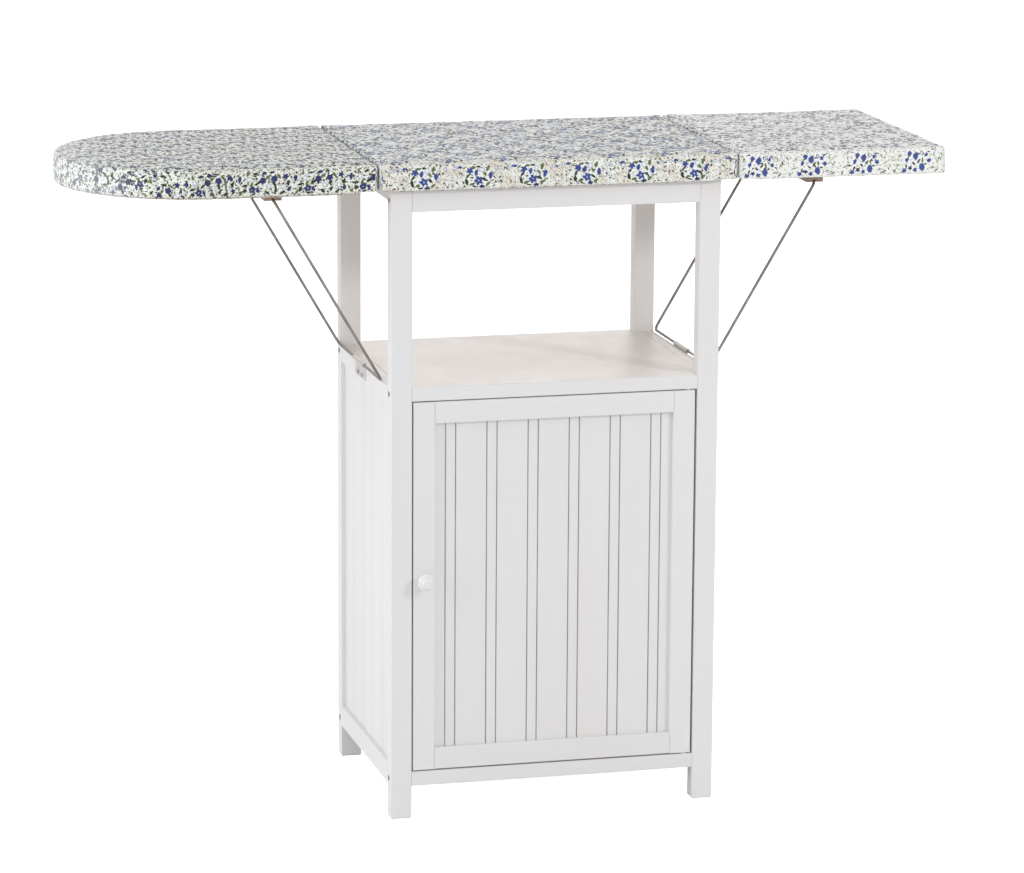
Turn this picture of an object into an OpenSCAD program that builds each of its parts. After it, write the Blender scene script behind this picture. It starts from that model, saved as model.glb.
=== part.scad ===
// Free-standing ironing board cabinet: a painted timber cabinet with a beaded
// door, an open shelf, and a padded board in three sections. Each end section
// folds down on hinges and is held level by a bent wire prop.

/* [Cabinet] */
// Width over the posts
cab_w = 460; // [420:5:520]
// Depth over the posts
cab_d = 340; // [300:5:380]
// Height of the posts, up to the underside of the board
post_h = 875; // [800:5:920]
// Width of a post, seen from the front
post_w = 29.5; // [24:0.5:36]
// Depth of a post, seen from the side
post_d = 22; // [20:0.5:30]
// Thickness of the rails and aprons
rail_t = 18; // [17.5:0.5:21]
// Height of the lowest rails above the floor
foot_h = 46; // [30:1:80]
// Height of the front and back bottom rails
front_rail_h = 20; // [18:1:36]
// Height of the side bottom rails
side_rail_h = 29.5; // [24:0.5:44]
// Height of the side rails at shelf level
middle_rail_h = 24; // [20:1:36]
// Height of the front and back aprons under the board
apron_h = 32; // [24:1:44]
// Height of the side rails under the board
top_rail_h = 18; // [14:1:30]
// Height of the shelf's upper face above the floor
shelf_z = 604; // [540:2:640]
// Thickness of the shelf
shelf_t = 19.5; // [18:0.5:24]
// Thickness of the cabinet's floor
bottom_t = 12; // [9:0.5:15]
// Chamfer along the edges of the timber
edge_ease = 1; // [0.4:0.1:1.5]
// Chamfer round the feet of the posts
foot_chamfer = 1.6; // [0.6:0.2:2.4]

/* [Panels] */
// Thickness of the beaded panels
panel_t = 6; // [4:0.5:7]
// Depth of a side panel behind the face of the posts
side_recess = 6.5; // [4:0.5:8]
// Depth of the door panel behind the face of the door
door_recess = 7.5; // [4:0.5:8]
// Depth that a panel enters its grooved frame
tongue = 5; // [3:0.5:7]
// Distance from one pair of bead grooves to the next
bead_pitch = 57.9; // [48:0.1:70]
// Distance between the two grooves of a pair
bead_w = 14.2; // [10:0.2:20]
// Width of a bead groove
groove_w = 2.2; // [1.4:0.1:3]
// Depth of a bead groove
groove_depth = 1.8; // [1:0.1:2.4]
// Thickness of the plain back panel
back_t = 4; // [3:0.5:6]
// Depth of the back panel behind the back face of the posts
back_recess = 8; // [5:0.5:10]

/* [Door] */
// Thickness of the door frame
door_t = 18; // [16:0.5:20]
// Width of the door's stiles
stile_w = 30; // [26:1:45]
// Height of the door's rails
door_rail_h = 30; // [26:1:45]
// Gap beside the door on the knob side
gap_knob = 2; // [1.5:0.25:3]
// Gap beside the door on the pivot side
gap_pivot = 3; // [2.5:0.25:4]
// Gap above the door
gap_top = 1.5; // [1:0.25:3]
// Gap below the door
gap_bottom = 2; // [1.5:0.25:4]
// Diameter of the door's pivot pins
pivot_pin_d = 5; // [4:0.5:5.5]
// Distance of the pivot from the door's edge
pivot_in = 9; // [8:0.5:11]
// Distance of the pivot behind the door's face
pivot_back = 6; // [5.5:0.25:6.5]
// Length of pivot pin in the door, and in the wood above or below it
pivot_grip = 12; // [8:1:14]

/* [Knob] */
// Diameter of the knob
knob_d = 24; // [20:1:34]
// Reach of the knob in front of the door
knob_reach = 25; // [22:1:36]
// Height of the knob's centre above the floor
knob_z = 336; // [240:2:430]
// Diameter of the knob's screw
knob_screw_d = 4; // [3:0.5:5]

/* [Board] */
// Reach of the board in front of the posts
front_reach = 15.5; // [14:0.5:22]
// Reach of the board behind the posts
back_reach = 25.5; // [15:0.5:40]
// Reach of the centre section beyond each side of the cabinet
side_reach = 20; // [19:0.5:40]
// Length of the left section, with the round nose
left_len = 405; // [330:5:460]
// Length of the right section
right_len = 300; // [250:5:400]
// Thickness of the wooden boards
board_t = 16; // [12:0.5:19]
// Height of the padded board, from its underside to its crown
cushion_h = 37; // [34:0.5:46]
// Rise of the crown over the board's edges
crown = 1.4; // [1:0.2:5]
// Radius of the rolled upper edge
edge_roll = 6; // [4:0.5:12]
// Amount that the cover draws in at its hem
side_draw = 0.8; // [0.4:0.1:1.5]
// Thickness of the cover
cover_t = 1.5; // [1:0.1:2]
// Gap between two covers at a fold line
cover_gap = 3; // [2:0.5:5]
// Radius of the right section's outer corners
corner_r = 10; // [6:1:40]
// Radius of the cover's corners at a fold line
fold_corner_r = 6; // [4:1:12]
// Width of the hem that is turned under the board
hem_w = 12; // [8:0.5:13]
// Thickness of the turned hem
hem_t = 1.8; // [1.4:0.2:3]

/* [Board hinges] */
// Length of a hinge along the fold line
hinge_len = 50; // [40:1:76]
// Width of one hinge plate, from the pin outwards
hinge_leaf_w = 18; // [14:0.5:19]
// Thickness of the hinge plates
hinge_sheet = 1.6; // [1.2:0.1:2]
// Outer radius of the hinge barrel
barrel_r = 3.2; // [3:0.1:3.6]
// Diameter of the hinge pins
hinge_pin_d = 3; // [2.5:0.1:3.2]
// Distance of a hinge's middle from the board's front or back edge
hinge_inset = 90; // [60:1:120]

/* [Wire props] */
// Diameter of the prop wire
wire_d = 4; // [3.5:0.1:5]
// Reach of a prop beyond the cabinet's side
prop_out = 150; // [120:2:190]
// Distance of the prop's front leg behind the face of the posts
prop_front = 48; // [40:1:60]
// Distance of the prop's rear leg ahead of the back of the posts
prop_rear = 20; // [15:1:60]
// Radius of the prop's bends
bend_r = 9; // [7:0.5:14]
// Length of the clip that holds a prop on its rail
clip_len = 64; // [40:1:90]
// Thickness of the clip's sheet metal
clip_sheet = 1.2; // [1:0.1:1.6]
// Running clearance round the prop wire, on the radius
wire_play = 0.07; // [0.03:0.01:0.1]
// Width of a wooden cleat under the board
cleat_w = 24; // [20:1:34]
// Length of a wooden cleat
cleat_len = 42; // [34:1:60]
// Thickness of a wooden cleat
cleat_t = 18; // [15:0.5:20]

/* [Fittings] */
// Diameter of the frame bolts
bolt_d = 6; // [5:0.5:6.5]
// Diameter of the bolt heads
bolt_head_d = 8.2; // [8:0.2:9.6]
// Length of a frame bolt under its head
bolt_len = 48; // [42:1:60]
// Width of an angle bracket under the centre board
bracket_w = 20; // [15:1:30]
// Length of each arm of an angle bracket
bracket_arm = 24; // [18:1:30]
// Distance of an angle bracket from the middle of the cabinet
bracket_x = 110; // [60:5:150]
// Width of the door catch
catch_w = 40; // [30:1:50]
// Diameter of the wood screws
screw_d = 3.2; // [2.8:0.1:3.6]
// Length of a wood screw under its head
screw_len = 13; // [10:0.5:13.5]
// Diameter of the pan heads of the wood screws
screw_head_d = 6; // [5.4:0.2:6.4]
// Depth that a cleat's screws enter the board
screw_bite = 5; // [4:0.5:7]
// Distance between the two screws of a prop's clip
clip_screw_pitch = 25; // [18:1:44]

/* [Hidden] */
$fn = 48;

// Places. x runs from the cabinet's middle, y from the face of the posts.
half_w = cab_w / 2;
post_in = half_w - post_w;              // inner face of a post
rail_in = half_w - rail_t;              // inner face of a side rail
back_y = cab_d - post_d;                // front face of the back posts
shelf_under = shelf_z - shelf_t;
floor_z = foot_h + front_rail_h;        // upper face of the cabinet's floor
side_top = shelf_z - middle_rail_h;     // upper end of a side panel's opening
side_low = foot_h + side_rail_h;        // lower end of a side panel's opening

// The part's origin is the middle of the footprint of its bounding box.
cab_x = (left_len - right_len) / 2;
cab_y = -(cab_d + back_reach - max(front_reach, knob_reach)) / 2;

// Door
door_x0 = -post_in + gap_knob;
door_x1 = post_in - gap_pivot;
door_z0 = floor_z + gap_bottom;
door_z1 = shelf_under - gap_top;
pivot_x = door_x1 - pivot_in;
pivot_play = 0.06;                      // running clearance on the radius
bush_wall = 1.6;
slot_play = 0.15;                       // room beside a panel in its slot
back_tongue = 4;                        // back panel's entry into the shelf and rail
door_bead_margin = 10;
side_bead_margin = 30;

// Board
fold_x = half_w + side_reach;           // fold line
board_d = front_reach + cab_d + back_reach;
board_y0 = -front_reach;
board_y1 = board_d - front_reach;
board_in = cover_t + side_draw + 0.2;   // wooden board inside its cover's outline
pad_in = cover_t + 0.2;
nose_r = board_d / 2 - 3;
half_gap = cover_gap / 2;
crown_step = 14;
crown_mid = 60;
crown_top = 112;

// Hinges
barrel_z = post_h - barrel_r;
pin_play = 0.06;
knuckle_gap = 0.3;
knuckle_clear = 0.5;

// Props
bar_off = wire_d / 2 + 0.4;             // pivot outside the cabinet's side face
bar_z = shelf_z + wire_d / 2 + 0.4;
curl_r = wire_d / 2 + clip_sheet;
notch_z = post_h - cleat_t + 1;         // wire's centre in the cleats' notches
prop_back = cab_d - prop_rear;
prop_span = prop_back - prop_front;
prop_rise = notch_z - bar_z;
prop_len = norm([prop_out - bar_off, prop_rise]);
prop_tilt = atan2(prop_out - bar_off, prop_rise);
clip_y0 = (prop_front + prop_back - clip_len) / 2;
clip_drop = middle_rail_h - 2;
cleat_gap = wire_d / 2 + 0.5;           // between the middle of a prop's leg and a cleat's end
clip_screw_z = shelf_z - 15;

// Bolts
bolt_play = 0.1;
head_t = 3.4;
head_sink = 0.6;
insert_wall = 1.5;
insert_len = gap_pivot + pivot_in - pivot_pin_d / 2 - 1.5;      // ends beside the pivot
bolt_y = pivot_back + pivot_pin_d / 2 + bolt_d / 2 + 1;         // passes behind the pivot
bore_out = 20;                          // overshoot of a cut beyond the side of a post

// Wood screws
screw_head_h = 2;
screw_play = 0.2;                       // room in a plate's hole, on the radius
hinge_screw_x = hinge_leaf_w * 0.6;     // from the hinge pin
hinge_screw_end = 10;                   // from the end of the hinge
bracket_screw = bracket_arm * 0.6;      // from the corner of the bracket
cleat_screw_x = 7.5;                    // from the prop's notch
cleat_screw_end = 8;                    // from the end of the cleat
screw_sink = cleat_t + screw_bite - screw_len;  // depth of the heads in the cleats

// Colours
paint = "whitesmoke";
raw_wood = "burlywood";
steel = "lightslategray";
cloth = "lightsteelblue";

// ---- helpers ----

// Puts what is drawn from the cabinet's middle and face into the part's frame
module placed() translate([cab_x, cab_y, 0]) children();

// Draws the children on the left or the right side of the cabinet
module on_side(side) {
    if (side < 0) mirror([1, 0, 0]) children();
    else children();
}

// Extrudes a (y, z) profile along x, and an (x, z) profile along y
module along_x(x0, x1) translate([x0, 0, 0]) rotate([90, 0, 90]) linear_extrude(x1 - x0) children();
module along_y(y0, y1) translate([0, y1, 0]) rotate([90, 0, 0]) linear_extrude(y1 - y0) children();

function eased(w, h) = [
    [edge_ease, 0], [w - edge_ease, 0], [w, edge_ease], [w, h - edge_ease],
    [w - edge_ease, h], [edge_ease, h], [0, h - edge_ease], [0, edge_ease]
];

// Timber between two corners, with its long edges eased
module timber_x(lo, hi) {
    along_x(lo.x, hi.x) translate([lo.y, lo.z]) polygon(eased(hi.y - lo.y, hi.z - lo.z));
}
module timber_y(lo, hi) {
    along_y(lo.y, hi.y) translate([lo.x, lo.z]) polygon(eased(hi.x - lo.x, hi.z - lo.z));
}
module timber_z(lo, hi) {
    translate(lo) linear_extrude(hi.z - lo.z) polygon(eased(hi.x - lo.x, hi.y - lo.y));
}
module block(lo, hi) translate(lo) cube(hi - lo);

// Section that cuts a chamfer of a given width along an edge at the origin
module edge_cut(width) rotate(45) square(width * sqrt(2), center = true);

// Cylinder along +x or +y from a point
module rod_x(at, d, len) translate(at) rotate([0, 90, 0]) cylinder(d = d, h = len);
module rod_y(at, d, len) translate(at) rotate([-90, 0, 0]) cylinder(d = d, h = len);

// Section of a beaded panel: width along x, face at y = 0, grooves in the face
module bead_section(x0, x1, margin) {
    pairs = floor((x1 - x0 - 2 * tongue - bead_w - 2 * margin) / bead_pitch) + 1;
    difference() {
        translate([x0, 0]) square([x1 - x0, panel_t]);
        for (i = [0 : pairs - 1], side = [-1, 1])
            translate([(x0 + x1) / 2 + (i - (pairs - 1) / 2) * bead_pitch + side * bead_w / 2, 0])
                polygon([[-groove_w / 2, -1], [groove_w / 2, -1], [groove_w / 2, 0],
                         [0, groove_depth], [-groove_w / 2, 0]]);
    }
}

// Spaces that the panels fill, a little wider than the panels
module side_panel_slot() {
    block([half_w - side_recess - panel_t - slot_play, post_d - tongue, side_low - tongue],
          [half_w - side_recess + slot_play, back_y + tongue, side_top + tongue]);
}
module back_panel_slot() {
    block([-post_in - tongue, cab_d - back_recess - back_t - slot_play, floor_z - back_tongue],
          [post_in + tongue, cab_d - back_recess + slot_play, shelf_under + back_tongue]);
}
module door_panel_slot() {
    block([door_x0 + stile_w - tongue, door_recess - slot_play, door_z0 + door_rail_h - tongue],
          [door_x1 - stile_w + tongue, door_recess + panel_t + slot_play, door_z1 - door_rail_h + tongue]);
}

// ---- frame bolts ----

bolt_levels = [foot_h + front_rail_h / 2, shelf_z - shelf_t / 2, post_h - apron_h / 2];

// Draws the children, which point inwards along -x, at each bolt of the right side
module at_bolts(ys) {
    for (z = bolt_levels, y = ys) translate([half_w, y, z]) children();
}
module bolt_bore() {
    rod_x([-head_sink - head_t - bolt_play, 0, 0], bolt_head_d + 0.4, bore_out);
    rod_x([-bolt_len - head_t - head_sink - 1, 0, 0], bolt_d + 2 * bolt_play, bolt_len + head_t);
    rod_x([-post_w - insert_len, 0, 0], bolt_d + 2 * insert_wall + 0.1, insert_len);
}
module bolt_bores(ys) {
    at_bolts(ys) bolt_bore();
    mirror([1, 0, 0]) at_bolts(ys) bolt_bore();
}
module bolt() {
    difference() {
        union() {
            rod_x([-head_sink - head_t, 0, 0], bolt_head_d, head_t);
            rod_x([-bolt_len - head_sink - head_t, 0, 0], bolt_d, bolt_len + 0.5);
        }
        translate([-head_sink - 2, 0, 0]) rotate([0, 90, 0]) cylinder(d = bolt_d * 0.75, h = 3, $fn = 6);
    }
}
module insert() {
    difference() {
        rod_x([-post_w - insert_len, 0, 0], bolt_d + 2 * insert_wall, insert_len);
        rod_x([-post_w - insert_len - 1, 0, 0], bolt_d + 0.1, insert_len + 2);
    }
}
front_bolts = [bolt_y];
back_bolts = [cab_d - bolt_y];

// ---- wood screws ----

// A pan-headed screw that points up, with the underside of its head at the origin
module wood_screw() {
    r = screw_d / 2;
    rim = screw_head_d / 2;
    brow = screw_head_h * 0.6;
    difference() {
        rotate_extrude($fn = 24) polygon(concat(
            [[0, screw_len], [r, screw_len - screw_d], [r, 0], [rim, 0]],
            [for (a = [0 : 30 : 90]) [rim - brow * (1 - cos(a)), -screw_head_h + brow * (1 - sin(a))]],
            [[0, -screw_head_h]]
        ));
        for (turn = [0, 90]) rotate(turn)
            block([-r, -0.4, -screw_head_h - 1], [r, 0.4, -screw_head_h * 0.4]);
    }
}
// The screw's hole in the wood, the same length, and a wider one through a plate
module pilot_bore() translate([0, 0, -1]) cylinder(d = screw_d + 0.04, h = screw_len + 1.5);
module plate_bore() translate([0, 0, -1]) cylinder(r = screw_d / 2 + screw_play, h = 4);

// Each of these draws its children at the places of one set of screws
module at_hinge_screws(dir) {
    for (y0 = hinge_y0s, y = [hinge_screw_end, hinge_len - hinge_screw_end])
        translate([fold_x + dir * hinge_screw_x, y0 + y, post_h - hinge_sheet]) children();
}
module at_bracket_screws() {
    for (side = [-1, 1], back = [0, 1])
        translate([side * bracket_x, back * cab_d, post_h]) mirror([0, back, 0]) {
            translate([0, rail_t + bracket_screw, -bracket_sheet]) children();
            translate([0, rail_t + bracket_sheet, -bracket_screw]) rotate([90, 0, 0]) children();
        }
}
module at_cleat_screws() {
    for (y0 = cleat_y0s, end = [0, 1])
        translate([half_w + prop_out + (end - 0.5) * 2 * cleat_screw_x,
                   y0 + (end == 0 ? cleat_screw_end : cleat_len - cleat_screw_end),
                   post_h - cleat_t + screw_sink]) children();
}
module at_clip_screws() {
    for (end = [-0.5, 0.5])
        translate([half_w + clip_sheet, clip_y0 + clip_len / 2 + end * clip_screw_pitch, clip_screw_z])
            rotate([0, -90, 0]) children();
}

module centre_board_screws() {
    color(steel) placed() {
        for (side = [-1, 1]) on_side(side) at_hinge_screws(-1) wood_screw();
        at_bracket_screws() wood_screw();
    }
}
module end_board_screws(side) {
    on_side(side) {
        at_hinge_screws(1) wood_screw();
        at_cleat_screws() wood_screw();
    }
}
module left_board_screws() color(steel) placed() end_board_screws(-1);
module right_board_screws() color(steel) placed() end_board_screws(1);
module prop_clip_screws() {
    color(steel) placed() for (side = [-1, 1]) on_side(side) at_clip_screws() wood_screw();
}

// ---- cabinet ----

// Cuts that ease the four edges of a post's foot
module foot_ease(lo, hi) {
    for (x = [lo.x, hi.x]) along_y(lo.y - 1, hi.y + 1) translate([x, 0]) edge_cut(foot_chamfer);
    for (y = [lo.y, hi.y]) along_x(lo.x - 1, hi.x + 1) translate([y, 0]) edge_cut(foot_chamfer);
}
module post(side, back) {
    y0 = back ? back_y : 0;
    difference() {
        on_side(side) timber_z([post_in, y0, 0], [half_w, y0 + post_d, post_h]);
        on_side(side) foot_ease([post_in, y0], [half_w, y0 + post_d]);
        bolt_bores(back ? back_bolts : front_bolts);
        on_side(side) side_panel_slot();
        if (back) back_panel_slot();
    }
}
module post_front_left() color(paint) placed() post(-1, false);
module post_front_right() color(paint) placed() post(1, false);
module post_back_left() color(paint) placed() post(-1, true);
module post_back_right() color(paint) placed() post(1, true);

// A rail across the front or the back, bored at its ends for the bolts
module cross_rail(back, z0, z1) {
    y0 = back ? cab_d - rail_t : 0;
    difference() {
        timber_x([-post_in, y0, z0], [post_in, y0 + rail_t, z1]);
        bolt_bores(back ? back_bolts : front_bolts);
        if (back) back_panel_slot();
    }
}
module apron(back) {
    difference() {
        cross_rail(back, post_h - apron_h, post_h);
        at_bracket_screws() pilot_bore();
    }
}
module front_apron() color(paint) placed() apron(false);
module back_apron() color(paint) placed() apron(true);
module front_bottom_rail() {
    color(paint) placed() difference() {
        cross_rail(false, foot_h, floor_z);
        pivot_bores();
    }
}
module back_bottom_rail() color(paint) placed() cross_rail(true, foot_h, floor_z);

module side_rail(side, z0, z1) {
    on_side(side) difference() {
        timber_y([rail_in, post_d, z0], [half_w, back_y, z1]);
        side_panel_slot();
    }
}
module left_top_rail() color(paint) placed() side_rail(-1, post_h - top_rail_h, post_h);
module right_top_rail() color(paint) placed() side_rail(1, post_h - top_rail_h, post_h);
module middle_rail(side) {
    difference() {
        side_rail(side, side_top, shelf_z);
        on_side(side) at_clip_screws() pilot_bore();
    }
}
module left_middle_rail() color(paint) placed() middle_rail(-1);
module right_middle_rail() color(paint) placed() middle_rail(1);
module left_bottom_rail() color(paint) placed() side_rail(-1, foot_h, side_low);
module right_bottom_rail() color(paint) placed() side_rail(1, foot_h, side_low);

// Plan of a board that is notched round the posts
module notched_plan(y0, y1) {
    difference() {
        translate([-rail_in, y0]) square([2 * rail_in, y1 - y0]);
        for (side = [-1, 1], y = [-1, back_y])
            translate([side * (post_in + post_w) - post_w, y]) square([2 * post_w, post_d + 1]);
    }
}
module shelf() {
    color(paint) placed() difference() {
        translate([0, 0, shelf_under]) linear_extrude(shelf_t) notched_plan(0, cab_d);
        bolt_bores(concat(front_bolts, back_bolts));
        back_panel_slot();
        pivot_bores();
        for (y = [0, cab_d], z = [shelf_under, shelf_z])
            along_x(-half_w, half_w) translate([y, z]) edge_cut(edge_ease);
    }
}
module bottom_panel() {
    color(paint) placed() difference() {
        translate([0, 0, floor_z - bottom_t]) linear_extrude(bottom_t)
            notched_plan(rail_t, cab_d - rail_t);
        back_panel_slot();
    }
}

module side_panel(side) {
    on_side(side) translate([half_w - side_recess, 0, side_low - tongue])
        linear_extrude(side_top - side_low + 2 * tongue)
            rotate(90) bead_section(post_d - tongue, back_y + tongue, side_bead_margin);
}
module left_side_panel() color(paint) placed() side_panel(-1);
module right_side_panel() color(paint) placed() side_panel(1);
module back_panel() {
    color(paint) placed()
        block([-post_in - tongue, cab_d - back_recess - back_t, floor_z - back_tongue],
              [post_in + tongue, cab_d - back_recess, shelf_under + back_tongue]);
}

module frame_bolts() {
    color(steel) placed() for (side = [-1, 1])
        on_side(side) at_bolts(concat(front_bolts, back_bolts)) bolt();
}
module bolt_inserts() {
    color(steel) placed() for (side = [-1, 1])
        on_side(side) at_bolts(concat(front_bolts, back_bolts)) insert();
}

// An angle bracket in the corner of an apron and the centre board
bracket_sheet = 2;
module bracket() {
    t = bracket_sheet;
    arm = bracket_arm;
    along_x(-bracket_w / 2, bracket_w / 2)
        polygon([[0, 0], [arm, 0], [arm, -t], [t, -t], [t, -arm], [0, -arm]]);
}
module board_brackets() {
    color(steel) placed() difference() {
        for (side = [-1, 1]) {
            translate([side * bracket_x, rail_t, post_h]) bracket();
            translate([side * bracket_x, cab_d - rail_t, post_h]) mirror([0, 1, 0]) bracket();
        }
        at_bracket_screws() plate_bore();
    }
}

// ---- door ----

module pivot_bores() {
    translate([pivot_x, pivot_back, floor_z - pivot_grip])
        cylinder(d = pivot_pin_d + 0.04, h = shelf_under - floor_z + 2 * pivot_grip);
}
module bush_bores() {
    for (z = [door_z0 - 1, door_z1 - pivot_grip])
        translate([pivot_x, pivot_back, z])
            cylinder(r = pivot_pin_d / 2 + pivot_play + bush_wall, h = pivot_grip + 1);
}
module door_stile(x0) {
    difference() {
        timber_z([x0, 0, door_z0], [x0 + stile_w, door_t, door_z1]);
        door_panel_slot();
    }
}
module knob_x() translate([door_x0 + stile_w / 2, 0, knob_z]) children();
module door_left_stile() {
    color(paint) placed() difference() {
        door_stile(door_x0);
        knob_x() rod_y([0, -1, 0], knob_screw_d + 0.2, door_t + 2);
    }
}
module door_right_stile() {
    color(paint) placed() difference() {
        door_stile(door_x1 - stile_w);
        bush_bores();
    }
}
module door_rail(z0) {
    difference() {
        timber_x([door_x0 + stile_w, 0, z0], [door_x1 - stile_w, door_t, z0 + door_rail_h]);
        door_panel_slot();
    }
}
module door_top_rail() color(paint) placed() door_rail(door_z1 - door_rail_h);
module door_bottom_rail() color(paint) placed() door_rail(door_z0);
module door_panel() {
    color(paint) placed() translate([0, door_recess, door_z0 + door_rail_h - tongue])
        linear_extrude(door_z1 - door_z0 - 2 * door_rail_h + 2 * tongue)
            bead_section(door_x0 + stile_w - tongue, door_x1 - stile_w + tongue, door_bead_margin);
}

// The knob turned in one piece: foot, waist, round head and raised button.
// The section runs outwards from the door.
foot_r = knob_d * 0.33;
waist_r = knob_d * 0.22;
rim_r = knob_d * 0.17;
button_r = knob_d * 0.32;
head_y = knob_reach * 0.58;
function arc(x, y, r, a0, a1, n) = [
    for (i = [0 : n]) [x + r * cos(a0 + (a1 - a0) * i / n), y + r * sin(a0 + (a1 - a0) * i / n)]
];
knob_section = concat(
    [[0, 0], [foot_r, 0], [foot_r, 1.4]],
    arc(foot_r, head_y / 2, foot_r - waist_r, 250, 120, 7),
    arc(knob_d / 2 - rim_r, head_y + rim_r * 0.2, rim_r, -60, 90, 10),
    [[button_r + 1, head_y + rim_r * 1.2]],
    arc(button_r - 3, knob_reach - 3, 3, 0, 90, 5),
    [[0, knob_reach]]
);
module knob() {
    color("white") placed() knob_x() difference() {
        rotate([90, 0, 0]) rotate_extrude() polygon(knob_section);
        rod_y([0, -knob_reach / 2, 0], knob_screw_d + 0.06, knob_reach / 2 + 1);
    }
}
module knob_screw() {
    color(steel) placed() knob_x() difference() {
        union() {
            rod_y([0, -knob_reach / 2 + 1, 0], knob_screw_d, knob_reach / 2 + door_t);
            rod_y([0, door_t, 0], knob_screw_d * 2, 2);
        }
        block([-knob_screw_d, door_t + 1.2, -0.5], [knob_screw_d, door_t + 3, 0.5]);
    }
}

module pivot_bushes() {
    color("ivory") placed() for (z = [door_z0, door_z1 - pivot_grip])
        translate([pivot_x, pivot_back, z]) difference() {
            cylinder(r = pivot_pin_d / 2 + pivot_play + bush_wall, h = pivot_grip);
            translate([0, 0, -1]) cylinder(r = pivot_pin_d / 2 + pivot_play, h = pivot_grip + 2);
        }
}
module pivot_pins() {
    color(steel) placed() {
        translate([pivot_x, pivot_back, floor_z - pivot_grip])
            cylinder(d = pivot_pin_d, h = 2 * pivot_grip + gap_bottom - 0.5);
        translate([pivot_x, pivot_back, door_z1 - pivot_grip + 0.5])
            cylinder(d = pivot_pin_d, h = 2 * pivot_grip + gap_top - 0.5);
    }
}
// The lower washer carries the door, and the upper one keeps it off the shelf
module pivot_washers() {
    color("ivory") placed() for (at = [[floor_z, gap_bottom], [door_z1 + 0.2, gap_top - 0.2]])
        translate([pivot_x, pivot_back, at[0]]) difference() {
            cylinder(d = pivot_pin_d + 4, h = at[1]);
            translate([0, 0, -1]) cylinder(d = pivot_pin_d + 0.04, h = at[1] + 2);
        }
}

// Magnetic catch under the shelf, and its steel strike on the back of the door
catch_x = door_x0 + stile_w;
catch_gap = 0.3;
strike_t = 1.2;
module door_catch() {
    color("white") placed() translate([catch_x, door_t + strike_t + catch_gap, shelf_under]) {
        block([0, 2, -2], [catch_w, 13, 0]);
        difference() {
            block([catch_w * 0.15, 0, -13], [catch_w * 0.85, 13, -2]);
            block([catch_w * 0.2, -1, -11], [catch_w * 0.8, 1.5, -9.5]);
            block([catch_w * 0.2, -1, -5.5], [catch_w * 0.8, 1.5, -4]);
        }
    }
}
module catch_strike() {
    color(steel) placed() translate([catch_x, door_t, shelf_under])
        block([catch_w * 0.12, 0, -14.5], [catch_w * 0.88, strike_t, -gap_top - 0.8]);
}

// ---- board ----

// Outline of a section of the board, drawn in by a given amount
function corner(x, y, r, a, n) = [
    for (i = [0 : n]) [x + r * cos(a + 90 * i / n), y + r * sin(a + 90 * i / n)]
];
function outline(s, in) =
    let (rl = max(s[2] - in, 0.4), rr = max(s[3] - in, 0.4),
         xl = s[0] + in + rl, xr = s[1] - in - rr,
         yl = board_y1 - in - rl, yr = board_y1 - in - rr,
         y0l = board_y0 + in + rl, y0r = board_y0 + in + rr,
         nl = s[2] > 100 ? 16 : 4, nr = s[3] > 100 ? 16 : 4)
    concat(corner(xr, yr, rr, 0, nr), corner(xl, yl, rl, 90, nl),
           corner(xl, y0l, rl, 180, nl), corner(xr, y0r, rr, 270, nr));

// Sections: left end, right end, radius of the left and of the right corners
centre_section = [-fold_x + half_gap, fold_x - half_gap, fold_corner_r, fold_corner_r];
left_section = [-fold_x - left_len, -fold_x - half_gap, nose_r, fold_corner_r];
right_section = [fold_x + half_gap, fold_x + right_len, fold_corner_r, corner_r];

// Rings of the padded form, each [drawn in, height over the board's underside]
roll_z = cushion_h - crown - edge_roll;
function upper_rings(in) = concat(
    [for (a = [0 : 30 : 90]) [in + edge_roll * (1 - cos(a)), roll_z - in + edge_roll * sin(a)]],
    [[in + edge_roll + crown_step, cushion_h - in - crown * 0.55],
     [in + crown_mid, cushion_h - in - crown * 0.14],
     [in + crown_top, cushion_h - in]]);
function cover_rings() = concat([[side_draw, 0], [0, roll_z * 0.4]], upper_rings(0));
function room_rings() = concat([[cover_t + side_draw, -1]], [[cover_t + side_draw, 0]],
                               [[cover_t, roll_z * 0.4]], upper_rings(cover_t));
function pad_rings() = concat([[pad_in, board_t]], upper_rings(pad_in));

// Closed form through rings of equal size
module lofted(s, rings) {
    loops = [for (r = rings) [for (p = outline(s, r[0])) [p.x, p.y, post_h + r[1]]]];
    n = len(loops[0]);
    last = (len(loops) - 1) * n;
    points = [for (l = loops, p = l) p];
    walls = [for (k = [0 : len(loops) - 2], i = [0 : n - 1])
        let (a = k * n + i, b = k * n + (i + 1) % n) each [[a, a + n, b + n], [a, b + n, b]]];
    caps = [for (i = [1 : n - 2]) each [[0, i, i + 1], [last, last + i + 1, last + i]]];
    polyhedron(points, concat(walls, caps));
}
module plan_ring(s, in0, in1) {
    difference() {
        polygon(outline(s, in0));
        polygon(outline(s, in1));
    }
}

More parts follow.
